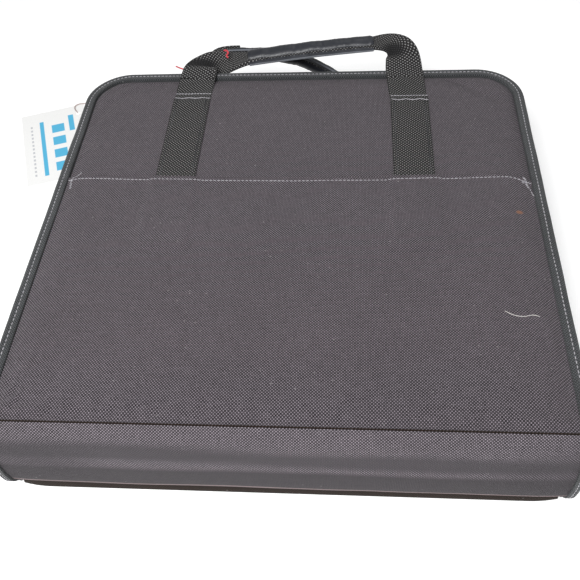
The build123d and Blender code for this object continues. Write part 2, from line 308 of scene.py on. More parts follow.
def colour(values, share=1.0):
    return tuple(v * share for v in values) + (1.0,)


def tint(w, base, tone):
    """A colour made lighter or darker by a tone round 1."""
    flat = w.node("ShaderNodeCombineColor", {0: tone, 1: tone, 2: tone}).outputs[0]
    inputs = {"Factor": 1.0, 6: base, 7: flat}
    return w.node("ShaderNodeMix", inputs, data_type="RGBA", blend_type="MULTIPLY").outputs[2]


def cloth_material(
    name,
    light,
    dark_share,
    pitch,
    relief,
    rough,
    sheen,
    dust=0.35,
    fade=0.35,
    quiet_below=None,
    warp_share=0.72,
    lit=(-0.1, 0.75),
    stains_and_painted_light=(),
):
    """Woven cloth. Its threads follow the piece's own UV map, which is in metres.

    quiet_below gives the heights between which the weave fades out to an even tone: painted soft light, where the
    threads catch no painted highlight. lit gives the heights over which the crowns of the raised threads are
    painted lighter, a painted highlight. The spots given last are stains, painted shade and painted highlights,
    each with its centre, reach, share and colour.
    """
    made, w, shader = blank_material(name)
    place = w.place()
    weave = w.use("weave", w.flat(), Pitch=pitch)
    lift = w.math("MULTIPLY", weave["Tone"], 1.0 - warp_share)
    lift = w.math("ADD", w.math("MULTIPLY", weave["Warp"], warp_share), lift)
    # The crowns of the raised threads are painted lighter: a painted highlight.
    lift = w.math("MULTIPLY", lift, w.ramp(weave["Height"], *lit))
    # Below the quiet heights the weave gives way to an even tone, fading in between: painted soft light.
    if quiet_below:
        loud = w.ramp(w.parts(place)[2], *quiet_below)
        even = w.math("MULTIPLY", w.math("SUBTRACT", 1.0, loud), QUIET_TONE)
        lift = w.math("ADD", w.math("MULTIPLY", lift, loud), even)
    base = w.mix(lift, colour(light, dark_share), colour(light))
    base = tint(w, base, w.use("cloud", place, Scale=14.0, Amount=fade)["Tone"])
    flecks = w.math("MULTIPLY", w.use("dust", place)["Mask"], dust)
    base = w.mix(flecks, base, (0.42, 0.40, 0.40, 1.0))
    # Stains, and spots of painted shade and painted highlight.
    for centre, reach, share, mark_colour in stains_and_painted_light:
        away = w.vector("SUBTRACT", place, centre)[0]
        away = w.vector("MULTIPLY", away, tuple(1.0 / v for v in reach))[0]
        span = w.vector("LENGTH", away)["Value"]
        near = w.math("MULTIPLY", w.math("SUBTRACT", 1.0, w.ramp(span, 0.4, 1.0)), share)
        base = w.mix(near, base, (*mark_colour, 1.0))
    w.dress(shader, base, w.linear(weave["Tone"], 0.12, rough - 0.06), weave["Height"], 0.8, relief)
    shader.inputs["Sheen Weight"].default_value = sheen
    shader.inputs["Sheen Roughness"].default_value = 0.5
    shader.inputs["Specular IOR Level"].default_value = 0.25
    return made


def leather_material():
    """Soft leather, creased across the grip and rubbed in places."""
    made, w, shader = blank_material("Grip_Leather")
    place = w.place()
    pores = w.node("ShaderNodeTexVoronoi", {"Vector": place, "Scale": 1400.0}, feature="F1").outputs["Distance"]
    creases = w.noise(w.stretched(w.flat(), (0.16, 1.0, 1.0)), 150.0, 3.0, 0.55)
    rubbed = w.ramp(w.noise(place, 45.0, 3.0), 0.48, 0.72)
    base = tint(w, colour(shared["colours"].leather), w.use("cloud", place, Scale=60.0, Amount=0.7)["Tone"])
    base = w.mix(w.math("MULTIPLY", rubbed, 0.30), base, (0.060, 0.062, 0.074, 1.0))
    height = w.math("ADD", w.math("MULTIPLY", pores, 0.16), creases)
    w.dress(shader, base, w.linear(creases, 0.16, 0.32), height, 0.45, 0.0014)
    shader.inputs["Specular IOR Level"].default_value = 0.6
    return made


def thread_material(name, base_colour):
    """Twisted sewing thread."""
    made, w, shader = blank_material(name)
    place = w.place()
    fuzz = w.noise(place, 2600.0, 2.0)
    base = w.mix(w.noise(place, 90.0, 2.0), colour(base_colour, 0.62), colour(base_colour, 1.25))
    w.dress(shader, base, w.linear(fuzz, 0.2, 0.6), fuzz, 0.5, 0.0002)
    return made


def metal_material():
    """Dark plated metal, worn bright in places."""
    made, w, shader = blank_material("Zip_Metal")
    place = w.place()
    worn = w.ramp(w.noise(place, 320.0, 4.0, 0.65), 0.45, 0.7)
    base = w.mix(worn, (0.045, 0.046, 0.050, 1.0), (0.30, 0.30, 0.31, 1.0))
    scratches = w.noise(w.stretched(place, (1.0, 1.0, 14.0)), 420.0)
    w.dress(shader, base, w.linear(worn, -0.15, 0.42), scratches, 0.3, 0.0001)
    shader.inputs["Metallic"].default_value = 0.85
    return made


def coil_material():
    """Plain dark plastic."""
    made, w, shader = blank_material("Zip_Coil")
    tone = w.noise(w.place(), 500.0, 2.0)
    w.link(w.mix(tone, (0.018, 0.018, 0.021, 1.0), (0.055, 0.055, 0.060, 1.0)), shader.inputs["Base Color"])
    w.link(w.linear(tone, 0.2, 0.32), shader.inputs["Roughness"])
    return made


def board_material():
    """Grey board with its fibres showing."""
    made, w, shader = blank_material("Grey_Board")
    fibres = w.noise(w.stretched(w.place(), (1.0, 3.0, 1.0)), 380.0, 4.0)
    base = w.mix(fibres, (0.20, 0.19, 0.17, 1.0), (0.34, 0.32, 0.29, 1.0))
    w.dress(shader, base, w.linear(fibres, 0.1, 0.82), fibres, 0.3, 0.0002)
    return made


def box_mask(w, spot, low, high, soft=0.0003):
    """1 inside a rectangle on the tag, 0 outside it."""
    sides = []
    for axis in (0, 1):
        sides.append(w.ramp(spot[axis], low[axis] - soft, low[axis] + soft))
        sides.append(w.math("SUBTRACT", 1.0, w.ramp(spot[axis], high[axis] - soft, high[axis] + soft)))
    inside = sides[0]
    for side in sides[1:]:
        inside = w.math("MULTIPLY", inside, side)
    return inside


def card_material():
    """Printed card: plain bars and squares, in place of print."""
    made, w, shader = blank_material("Tag_Card")
    place = w.place()
    inputs = {"Vector": place, "Location": (-0.269, 0.120, 0.0), "Rotation": (0.0, 0.0, math.radians(19.1))}
    spot = w.parts(w.node("ShaderNodeMapping", inputs, vector_type="TEXTURE").outputs[0])
    ink = box_mask(w, spot, (0.0180, 0.010), (0.0222, 0.096))
    ink = w.math("MAXIMUM", ink, box_mask(w, spot, (0.0480, 0.072), (0.0535, 0.098)))
    for low in (0.014, 0.034, 0.054, 0.074):
        ink = w.math("MAXIMUM", ink, box_mask(w, spot, (0.0300, low), (0.0430, low + 0.013)))
    dashes = w.math("LESS_THAN", w.math("FRACT", w.math("MULTIPLY", spot[1], 170.0)), 0.55)
    line = w.math("MULTIPLY", box_mask(w, spot, (0.0085, 0.012), (0.0105, 0.094)), dashes)
    grain = w.noise(place, 900.0, 3.0)
    paper = w.mix(grain, (0.84, 0.84, 0.83, 1.0), (0.93, 0.93, 0.92, 1.0))
    paper = w.mix(w.math("MULTIPLY", line, 0.6), paper, (0.35, 0.37, 0.42, 1.0))
    base = w.mix(ink, paper, colour(shared["colours"].print_ink))
    w.dress(shader, base, w.linear(grain, 0.1, 0.4), grain, 0.15, 0.0001)
    return made


# Mesh building


def lattice(name, grid, material, sharp=50.0):
    """A closed tube through a grid of points, its second way going round. UVs are in metres."""
    n, m = grid.shape[:2]
    steps = np.linalg.norm(np.diff(grid, axis=0), axis=2).mean(axis=1)
    along = np.concatenate([[0.0], np.cumsum(steps)])
    ring = np.concatenate([grid, grid[:, :1]], axis=1)
    girth = np.concatenate([[0.0], np.cumsum(np.linalg.norm(np.diff(ring, axis=1), axis=2).mean(axis=0))])
    i, j = (v.ravel() for v in np.meshgrid(np.arange(n - 1), np.arange(m), indexing="ij"))
    nxt = (j + 1) % m
    polygons = np.stack([i * m + j, i * m + nxt, (i + 1) * m + nxt, (i + 1) * m + j], axis=1).tolist()
    corners = ((j, i), (j + 1, i), (j + 1, i + 1), (j, i + 1))
    uv = np.stack([np.stack([girth[a], along[b]], axis=1) for a, b in corners], axis=1).reshape(-1, 2)
    for k, order in ((0, 1), (n - 1, -1)):
        polygons.append([k * m + q for q in range(m)][::order])
        uv = np.concatenate([uv, np.stack([girth[:m], np.full(m, along[k])], axis=1)[::order]])
    mesh = bpy.data.meshes.new(name)
    mesh.from_pydata(grid.reshape(-1, 3).tolist(), [], polygons)
    layer = mesh.uv_layers.new(name="UVMap")
    layer.data.foreach_set("uv", uv.astype(np.float32).ravel())
    return finish_mesh(name, mesh, material, sharp)


def two_faced(name, top, under, material, sharp=50.0, axes=(0, 1)):
    """A closed piece from the grids of its two faces, with its weave running straight across it."""
    made = lattice(name, np.concatenate([top, under[:, ::-1]], axis=1), material, sharp)
    flat_uv(made, *axes)
    return made


def finish_mesh(name, mesh, material, sharp=50.0, closed=True):
    """Turns the faces outwards, smooths them and puts the mesh in the scene."""
    if closed:
        work = bmesh.new()
        work.from_mesh(mesh)
        bmesh.ops.recalc_face_normals(work, faces=work.faces)
        work.to_mesh(mesh)
        work.free()
    mesh.shade_smooth()
    mesh.set_sharp_from_angle(angle=math.radians(sharp))
    mesh.materials.append(material)
    made = bpy.data.objects.new(name, mesh)
    bpy.context.scene.collection.objects.link(made)
    return made


def flat_uv(piece, a, b):
    """Lays the UV map flat along two axes."""
    corners = np.zeros(len(piece.data.loops), np.int32)
    piece.data.loops.foreach_get("vertex_index", corners)
    spots = get_points(piece)[corners][:, [a, b]]
    piece.data.uv_layers["UVMap"].data.foreach_set("uv", spots.astype(np.float32).ravel())


def get_points(piece):
    co = np.zeros(len(piece.data.vertices) * 3)
    piece.data.vertices.foreach_get("co", co)
    return co.reshape(-1, 3)


def set_points(piece, points):
    piece.data.vertices.foreach_set("co", points.astype(np.float32).ravel())
    piece.data.update()


def ripple(points, scale, seed):
    """Smooth noise from -1 to 1 at each point."""
    shift = Vector((seed * 7.3, seed * 3.1, seed * 5.7))
    return np.array([noise.noise(Vector(p) * scale + shift) for p in points])


def flat_ripple(x, y, scale, seed):
    """ripple over a grid of places."""
    return ripple(np.stack([x, y, np.zeros_like(x)], axis=2).reshape(-1, 3), scale, seed).reshape(x.shape)


def unit(v):
    return v / np.maximum(np.linalg.norm(v, axis=-1, keepdims=True), 1e-12)


def sweep(name, path, across, up, section, material, sharp=50.0):
    """A closed section carried along a path. The section is (along across, along up), one or one for each station."""
    path, across, up, section = (np.asarray(v, float) for v in (path, across, up, section))
    if section.ndim == 2:
        section = np.broadcast_to(section, (len(path),) + section.shape)
    grid = path[:, None] + section[..., :1] * across[:, None] + section[..., 1:] * up[:, None]
    return lattice(name, grid, material, sharp)


def rim_line(near, inset=0.0):
    """Points round three sides of the plan, moved inwards by inset, and the outward direction at each."""
    half, far, r = case_half, case_far, corner_radius
    side = max(2, round((far - r - near) / RIM_STEP))
    top = max(2, round(2 * (half - r) / RIM_STEP))
    points, out = [], []
    for t in np.linspace(0, 1, side, endpoint=False):
        points.append((-half, near + t * (far - r - near)))
        out.append((-1.0, 0.0))
    for a in np.linspace(math.pi, math.pi / 2, RIM_TURN, endpoint=False):
        points.append((-half + r + r * math.cos(a), far - r + r * math.sin(a)))
        out.append((math.cos(a), math.sin(a)))
    for t in np.linspace(0, 1, top, endpoint=False):
        points.append((-half + r + t * 2 * (half - r), far))
        out.append((0.0, 1.0))
    for a in np.linspace(math.pi / 2, 0, RIM_TURN, endpoint=False):
        points.append((half - r + r * math.cos(a), far - r + r * math.sin(a)))
        out.append((math.cos(a), math.sin(a)))
    for t in np.linspace(0, 1, side + 1):
        points.append((half, far - r + t * (near - far + r)))
        out.append((1.0, 0.0))
    out = np.array(out)
    flat = np.zeros((len(points), 1))
    return np.hstack([np.array(points) - out * inset, flat]), np.hstack([out, flat])


def round_rim(name, section, near, material, sway, seed):
    """A section carried round three sides. It is given as (inset from the plan's edge, height)."""
    grid = []
    for inset, height in section:
        ring, out = rim_line(near, inset)
        ring[:, 2] = height
        grid.append(ring)
    grid = np.stack(grid, axis=1)
    middle = grid.mean(axis=1)
    waves = ripple(middle, 22.0, seed) + 0.5 * ripple(middle, 60.0, seed + 3)
    grid[..., :2] += out[:, None, :2] * (waves * sway)[:, None, None]
    return lattice(name, grid, material, sharp=60.0)


def smooth_path(points, count, values=None):
    """Points spread evenly along a smooth line through the given ones, and any values carried with them."""
    points = np.asarray(points, float)
    data = points if values is None else np.hstack([points, np.asarray(values, float)])
    padded = np.vstack([2 * data[0] - data[1], data, 2 * data[-1] - data[-2]])
    dense = []
    for k in range(1, len(padded) - 2):
        p0, p1, p2, p3 = padded[k - 1 : k + 3]
        bend, turn = 2 * p0 - 5 * p1 + 4 * p2 - p3, 3 * p1 - p0 - 3 * p2 + p3
        for t in np.linspace(0, 1, 24, endpoint=False):
            dense.append(0.5 * (2 * p1 + (p2 - p0) * t + bend * t * t + turn * t**3))
    dense = np.array([*dense, data[-1]])
    run = np.concatenate([[0.0], np.cumsum(np.linalg.norm(np.diff(dense[:, :3], axis=0), axis=1))])
    spots = np.linspace(0, run[-1], count)
    return np.stack([np.interp(spots, run, dense[:, c]) for c in range(dense.shape[1])], axis=1)


def band_section(width, thick, folds=9, groove=0.0):
    """The section of a flat band with rounded edges, as (across, up)."""
    half, t = width / 2, thick / 2
    xs = np.linspace(-half + t, half - t, folds)
    rise = t - groove * np.exp(-((xs / (0.12 * width)) ** 2))
    edge = [(half - t * 0.3, t * 0.7), (half, 0), (half - t * 0.3, -t * 0.7)]
    top = list(zip(xs, rise))
    low = list(zip(xs[::-1], -rise[::-1]))
    return np.array(top + edge + low + [(-x, -y) for x, y in edge])


def ribbon(name, stations, count, material, folds=9, seed=1, ruffle=0.0):
    """Webbing through stations of (point, direction across, width, thickness) in millimetres."""
    points = np.array([s[0] for s in stations], float) * MM
    extra = np.array([list(unit(np.array(s[1], float))) + [s[2] * MM, s[3] * MM] for s in stations])
    data = smooth_path(points, count, extra)
    path, wide, size = data[:, :3], data[:, 3:6], data[:, 6:8]
    ahead = unit(np.gradient(path, axis=0))
    wide = unit(wide - (wide * ahead).sum(1, keepdims=True) * ahead)
    up = np.cross(wide, ahead)
    sections = np.array([band_section(w, t, folds, max(0.0, t - 0.0022) * 0.35) for w, t in size])
    if ruffle:
        sections[..., 1] += (ripple(path, 55.0, seed) * ruffle)[:, None]
    return sweep(name, path, wide, up, sections, material), path, wide, up


# Rows of copies: stitches and zip teeth


def row_tree():
    """Geometry nodes that set copies of one shape along lines, each turned along its line."""
    tree = bpy.data.node_groups.new("Row_Of_Copies", "GeometryNodeTree")
    face = tree.interface
    for label, kind, direction in (
        ("Geometry", "NodeSocketGeometry", "INPUT"),
        ("Spacing", "NodeSocketFloat", "INPUT"),
        ("Shape", "NodeSocketObject", "INPUT"),
        ("Unevenness", "NodeSocketFloat", "INPUT"),
        ("Seed", "NodeSocketInt", "INPUT"),
        ("Material", "NodeSocketMaterial", "INPUT"),
        ("Geometry", "NodeSocketGeometry", "OUTPUT"),
    ):
        face.new_socket(label, in_out=direction, socket_type=kind)
    w = Wiring(tree)
    given = w.node("NodeGroupInput").outputs
    out = w.node("NodeGroupOutput").inputs
    curve = w.node("GeometryNodeMeshToCurve", {"Mesh": given["Geometry"]}).outputs[0]
    spread = w.node(
        "GeometryNodeResampleCurve", {"Curve": curve, "Length": given["Spacing"]}, mode="LENGTH"
    ).outputs[0]
    way = w.node("GeometryNodeInputTangent").outputs[0]
    up = w.node("GeometryNodeInputNamedAttribute", {"Name": "up"}, data_type="FLOAT_VECTOR").outputs[0]
    turned = w.node("FunctionNodeAlignEulerToVector", {"Vector": way}, axis="X").outputs[0]
    turned = w.node(
        "FunctionNodeAlignEulerToVector", {"Rotation": turned, "Vector": up}, axis="Z", pivot_axis="X"
    ).outputs[0]
    swing = w.node("FunctionNodeRandomValue", {"Seed": given["Seed"]}, data_type="FLOAT")
    swing.inputs[2].default_value = -1.0
    swing.inputs[3].default_value = 1.0
    turn = w.math("MULTIPLY", swing.outputs[1], given["Unevenness"])
    yaw = w.node("ShaderNodeCombineXYZ", {2: turn}).outputs[0]
    turned = w.node("FunctionNodeRotateEuler", {0: turned, 1: yaw}, space="LOCAL").outputs[0]
    shape = w.node("GeometryNodeObjectInfo", {"Object": given["Shape"]}).outputs["Geometry"]
    grow = w.node("FunctionNodeRandomValue", {"Seed": given["Seed"]}, data_type="FLOAT")
    grow.inputs[2].default_value = 0.9
    grow.inputs[3].default_value = 1.1
    copies = w.node(
        "GeometryNodeInstanceOnPoints",
        {"Points": spread, "Instance": shape, "Rotation": turned, "Scale": grow.outputs[1]},
    ).outputs[0]
    real = w.node("GeometryNodeRealizeInstances", {"Geometry": copies}).outputs[0]
    done = w.node("GeometryNodeSetMaterial", {"Geometry": real, "Material": given["Material"]}).outputs[0]
    tree.links.new(done, out["Geometry"])
    return tree


def row_of(name, lines, shape, spacing, material, uneven=0.1, seed=1):
    """One mesh of copies along lines. Each line is its points and the upward direction at each."""
    points, edges, ups = [], [], []
    for line, up in lines:
        line = np.asarray(line, float)
        up = np.broadcast_to(np.asarray(up, float), line.shape)
        start = len(points)
        points.extend(line.tolist())
        ups.extend(up.tolist())
        edges.extend((start + k, start + k + 1) for k in range(len(line) - 1))
    mesh = bpy.data.meshes.new(name + "_line")
    mesh.from_pydata(points, edges, [])
    mesh.attributes.new("up", "FLOAT_VECTOR", "POINT").data.foreach_set("vector", np.array(ups, np.float32).ravel())
    holder = bpy.data.objects.new(name + "_line", mesh)
    bpy.context.scene.collection.objects.link(holder)
    modifier = holder.modifiers.new("Row", "NODES")
    modifier.node_group = shared["row"]
    values = {
        "Spacing": float(spacing),
        "Shape": shape,
        "Unevenness": float(uneven),
        "Seed": int(seed),
        "Material": material,
    }
    for socket in shared["row"].interface.items_tree:
        if socket.in_out == "INPUT" and socket.name in values:
            modifier[socket.identifier] = values[socket.name]
    bpy.context.view_layer.update()
    graph = bpy.context.evaluated_depsgraph_get()
    real = bpy.data.meshes.new_from_object(holder.evaluated_get(graph), depsgraph=graph)
    real.name = name
    bpy.data.objects.remove(holder)
    if not len(real.polygons):
        raise RuntimeError(f"{name}: no copies were made")
    for extra in [a.name for a in real.attributes if a.name == "up"]:
        real.attributes.remove(real.attributes[extra])
    real.shade_smooth()
    if not real.materials:
        real.materials.append(material)
    made = bpy.data.objects.new(name, real)
    bpy.context.scene.collection.objects.link(made)
    return made


def hidden_shape(name, build):
    """A small mesh that rows copy. It isn't in the scene."""
    work = bmesh.new()
    build(work)
    bmesh.ops.recalc_face_normals(work, faces=work.faces)
    mesh = bpy.data.meshes.new(name)
    work.to_mesh(mesh)
    work.free()
    return bpy.data.objects.new(name, mesh)


def stitch_shape(work):
    """One stitch: a short plump thread with its ends going down into the cloth."""
    bmesh.ops.create_uvsphere(work, u_segments=6, v_segments=5, radius=1.0)
    for v in work.verts:
        x, y, z = v.co
        v.co = Vector((z * 1.32, y * 0.36, x * 0.30)) * MM
        v.co.z -= 0.18 * MM * (v.co.x / (1.3 * MM)) ** 2


def tooth_shape(work):
    """One turn of the coil, seen from outside as a short bar with a rounded head."""
    bmesh.ops.create_cube(work, size=1.0)
    bmesh.ops.bevel(work, geom=work.edges[:], offset=0.28, segments=1, affect="EDGES")
    for v in work.verts:
        v.co = Vector((v.co.x * 1.25, v.co.y * 2.7, v.co.z * 2.5)) * MM


def stitches(name, body, lines, pitch, material, uneven, seed):
    """Rows of stitches on a body."""
    return belongs(row_of(name, lines, shared["stitch"], pitch, material, uneven, seed), body)


def belongs(piece, body, stands_for=()):
    """Puts a finished piece on its body."""
    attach(piece, body)
    return named(piece, stands_for)


def named(piece, stands_for=()):
    if stands_for:
        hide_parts(*stands_for)
    return piece


def surface_height(tree, x, y, fallback):
    """How high a surface lies at a place, seen from above."""
    hit = tree.ray_cast(Vector((x, y, 0.2)), Vector((0, 0, -1)))[0]
    return hit.z if hit is not None else fallback


def panel_rows(inset, near):
    """Rows of a panel's plan: how far along each is and how wide there."""
    half, far, r = case_half - inset, case_far - inset, corner_radius - inset
    curve = far - r + r * np.sin(np.linspace(0, math.pi / 2, 15)[1:])
    ys = np.concatenate([np.linspace(near, far - r, 50), curve])
    widths = np.where(ys <= far - r, half, half - r + np.sqrt(np.maximum(r * r - (ys - far + r) ** 2, 0.0)))
    return ys, widths


def panel_slab(name, inset, near, low, high, material, columns=56):
    """A closed slab with the case's plan. low and high give the heights of its two faces at (x, y, edge distance)."""
    ys, widths = panel_rows(inset, near)
    t = np.sin(np.linspace(-math.pi / 2, math.pi / 2, columns))
    t = 0.35 * t + 0.65 * np.linspace(-1, 1, columns)
    x = widths[:, None] * t[None]
    y = np.broadcast_to(ys[:, None], x.shape)
    edge = np.minimum.reduce([widths[:, None] - abs(x), case_far - inset - y, y - near])
    top, under = (np.stack([x, y, face(x, y, edge)], axis=2) for face in (high, low))
    return two_faced(name, top, under, material, 60.0), edge


def puff(piece, held, rise, lowest, pressure=4.0):
    """Inflates a padded piece with a short cloth simulation, and keeps it within rise of where it was."""
    before = get_points(piece)
    keep = piece.vertex_groups.new(name="held")
    keep.add([int(k) for k in np.nonzero(held)[0]], 1.0, "REPLACE")
    cloth = piece.modifiers.new("Puff", "CLOTH")
    for key, value in {
        "vertex_group_mass": "held",
        "quality": 6,
        "mass": 0.35,
        "tension_stiffness": 12.0,
        "compression_stiffness": 12.0,
        "shear_stiffness": 4.0,
        "bending_stiffness": 0.8,
        "shrink_min": -0.012,
        "use_pressure": True,
        "uniform_pressure_force": pressure,
    }.items():
        setattr(cloth.settings, key, value)
    cloth.settings.effector_weights.gravity = 0.0
    cloth.collision_settings.use_collision = False
    cloth.collision_settings.use_self_collision = False
    for number in range(1, PUFF_FRAMES + 1):
        bpy.context.scene.frame_set(number)
    graph = bpy.context.evaluated_depsgraph_get()
    solved = bpy.data.meshes.new_from_object(piece.evaluated_get(graph), depsgraph=graph)
    after = np.zeros(len(solved.vertices) * 3)
    solved.vertices.foreach_get("co", after)
    after = after.reshape(-1, 3)
    bpy.data.meshes.remove(solved)
    bpy.context.scene.frame_set(1)
    piece.modifiers.remove(cloth)
    piece.vertex_groups.remove(keep)
    move = after - before
    size = np.linalg.norm(move, axis=1, keepdims=True)
    move *= rise * np.tanh(size / rise) / np.maximum(size, 1e-9)
    points = before + move
    points[:, 2] = np.maximum(points[:, 2], lowest)
    set_points(piece, points)


def solid_tree(piece):
    """A piece's surface, to lay other pieces on."""
    graph = bpy.context.evaluated_depsgraph_get()
    bpy.context.view_layer.update()
    return BVHTree.FromObject(piece, graph)


# Pieces


class CaseOperator:
    """What the makers of the case's pieces share."""

    bl_options = {"REGISTER", "UNDO"}

    def execute(self, context):
        self.make(context.scene.case_sizes, shared["materials"])
        return {"FINISHED"}


# The camera's place, its right, upward and backward directions, and its sensor and lens, in millimetres
CAMERA_PLACE = (44.02, -381.61, 485.98)
CAMERA_AXES = (
    (0.99672934, 0.05626775, -0.05800487),
    (-0.00877827, 0.78891176, 0.6144438),
    (0.0803341, -0.61192498, 0.78682543),
)
CAMERA_LENS = (36.0, 45.51)


class CASE_OT_camera(bpy.types.Operator):
    """Sets the camera and the shared materials and shapes"""

    bl_idname = "case.camera"
    bl_label = "Camera and Finishes"

    def execute(self, context):
        data = bpy.data.cameras.new("Camera")
        data.sensor_width, data.lens = CAMERA_LENS
        data.clip_start, data.clip_end = 0.05, 20.0
        camera = bpy.data.objects.new("Camera", data)
        context.scene.collection.objects.link(camera)
        turn = Matrix(CAMERA_AXES).transposed().to_4x4()
        camera.matrix_world = Matrix.Translation(Vector(CAMERA_PLACE) * MM) @ turn
        context.scene.camera = camera
        make_finishes(context.scene.case_sizes, context.scene.case_colours)
        return {"FINISHED"}


# What the outer cloth's materials share, and how much lighter the spine's is: the same cloth painted lighter, painted
# light on the spine's face
OUTER = {"dark_share": 0.02, "relief": 0.0007, "rough": 0.86, "sheen": 0.06}
SPINE_PAINTED_LIGHT = 1.21
# Places where a material's colour changes: centre, reach, share and colour. The outer cloth's is a stain, the spine's
# are painted shade and a painted highlight, and the webbing's are painted shade
CLOTH_MARKS = (((0.1677, 0.0004, 0.091), (0.0034, 0.0028, 0.02), 0.55, (0.42, 0.16, 0.06)),)
SPINE_SHADE_AND_HIGHLIGHT = (
    # Painted shade: a dark band under the spine's padded shoulder, a little higher at the left, and darker places
    # towards both ends
    ((-0.120, -0.186, 0.0660), (0.16, 0.05, 0.0120), 0.78, (0.045, 0.039, 0.045)),
    ((0.080, -0.186, 0.0605), (0.21, 0.05, 0.0120), 0.78, (0.045, 0.039, 0.045)),
    ((-0.19, -0.184, 0.050), (0.09, 0.05, 0.034), 0.55, (0.04, 0.034, 0.04)),
    ((0.19, -0.184, 0.052), (0.07, 0.05, 0.034), 0.45, (0.04, 0.034, 0.04)),
    # A pale pinkish line along the spine's lower fold: a painted highlight
    ((0.0, -0.187, 0.0215), (0.9, 0.05, 0.0024), 0.70, (0.34, 0.25, 0.25)),
)
WEBBING_PAINTED_SHADE = (
    # Painted shade: dark places inside the front handle's two arches, where the webbing folds over into the grip
    ((-0.0925, 0.1850, 0.0930), (0.0250, 0.0088, 0.0110), 0.92, (0.010, 0.010, 0.011)),
    ((0.0815, 0.1905, 0.0985), (0.0150, 0.0095, 0.0090), 0.85, (0.010, 0.010, 0.011)),
)


def make_finishes(sizes, colours):
    """The shader groups, materials, row tree and small shapes that several pieces use."""
    shared["colours"] = colours
    shared["weave"] = weave_group()
    shared["cloud"] = cloud_group()
    shared["dust"] = dust_group()
    shared["row"] = row_tree()
    shared["stitch"] = hidden_shape("Stitch_Shape", stitch_shape)
    shared["tooth"] = hidden_shape("Tooth_Shape", tooth_shape)
    pitch = sizes.thread_pitch
    shared["materials"] = {
        "cloth": cloth_material("Outer_Cloth", colours.cloth, **OUTER, pitch=pitch, stains_and_painted_light=CLOTH_MARKS),
        # The spine's cloth: the outer cloth painted lighter, its weave evened out low down, with painted shade and a
        # painted highlight
        "spine": cloth_material(
            "Spine_Cloth",
            [v * SPINE_PAINTED_LIGHT for v in colours.cloth],
            **OUTER,
            pitch=pitch,
            quiet_below=(0.0445, 0.0500),
            stains_and_painted_light=SPINE_SHADE_AND_HIGHLIGHT,
        ),
        # The folds' cloth is painted dark brown, far darker than the outer cloth: painted shade in the crease at the
        # spine's top and in the shadowed gap under its lower fold
        "fold": cloth_material(
            "Fold_Painted_Shade", (0.040, 0.026, 0.020), dark_share=0.3, pitch=pitch, relief=0.0004, rough=0.9, sheen=0.02
        ),
        "tape": cloth_material(
            "Binding_Tape",
            colours.tape,
            dark_share=0.06,
            pitch=0.0010,
            relief=0.0006,
            rough=0.7,
            sheen=0.10,
            dust=0.5,
            fade=1.3,
        ),
        "webbing": cloth_material(
            "Webbing",
            colours.webbing,
            dark_share=0.022,
            pitch=sizes.webbing_pitch,
            relief=0.0009,
            rough=0.72,
            sheen=0.0,
            dust=0.15,
            fade=0.3,
            warp_share=0.9,
            lit=(0.25, 0.95),
            stains_and_painted_light=WEBBING_PAINTED_SHADE,
        ),
        "lining": cloth_material(
            "Lining",
            colours.lining,
            dark_share=0.8,
            pitch=0.0004,
            relief=0.0001,
            rough=0.5,
            sheen=0.05,
            dust=0.1,
            fade=0.25,
        ),
        "elastic": cloth_material(
            "Elastic",
            (0.05, 0.05, 0.054),
            dark_share=0.5,
            pitch=0.0009,
            relief=0.0005,
            rough=0.75,
            sheen=0.1,
            dust=0.1,
            fade=0.2,
        ),
        "wall": cloth_material(
            "Wall_Cloth", colours.cloth, dark_share=0.05, pitch=pitch, relief=0.0006, rough=0.86, sheen=0.06
        ),
        "leather": leather_material(),
        "thread": thread_material("Pale_Thread", colours.thread),
        "dark_thread": thread_material("Dark_Thread", (0.035, 0.037, 0.042)),
        "edge": thread_material("Edge_Paint", (0.16, 0.17, 0.19)),
        "red_thread": thread_material("Red_Thread", (0.62, 0.05, 0.07)),
        "lint": thread_material("Lint", (0.62, 0.60, 0.58)),
        "string": thread_material("Tag_String", (0.55, 0.46, 0.44)),
        "metal": metal_material(),
        "coil": coil_material(),
        "board": board_material(),
        "card": card_material(),
    }


def repaint(node, material):
    """Gives a node of the frame that is shown as it is its finish."""
    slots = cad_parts[node].material_slots
    for slot in slots:
        slot.material = material
    if not slots:
        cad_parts[node].data.materials.append(material)


# The way of the tag's string, in millimetres
STRING_ROUTE = (
    (-105.0, 177.7, 0.8),
    (-106.5, 188.0, 0.8),
    (-117.0, 203.0, 0.8),
    (-139.0, 213.0, 0.8),
    (-167.0, 218.0, 0.8),
    (-195.0, 229.0, 0.8),
    (-221.0, 243.0, 0.9),
    (-244.0, 249.0, 1.4),
    (-254.0, 241.0, 1.6),
    (-245.3, 231.9, 1.3),
)


class CASE_OT_tag(CaseOperator, bpy.types.Operator):
    """Makes the hang tag's print and its string"""

    bl_idname = "case.tag"
    bl_label = "Hang Tag"

    def make(self, sizes, finish):
        repaint("hang_tag", finish["card"])
        line = bpy.data.curves.new("tag_string_line", "CURVE")
        line.dimensions = "3D"
        spline = line.splines.new("NURBS")
        spline.points.add(len(STRING_ROUTE) - 1)
        for point, place in zip(spline.points, STRING_ROUTE):
            point.co = (*(v * MM for v in place), 1.0)
        spline.order_u = 3
        spline.use_endpoint_u = True
        line.resolution_u = 12
        line.bevel_depth = 0.0006
        line.bevel_resolution = 3
        line.use_fill_caps = True
        line.materials.append(finish["string"])
        string = bpy.data.objects.new("tag_string_line", line)
        bpy.context.scene.collection.objects.link(string)
        belongs(string, "back_cover", ["tag_string"])


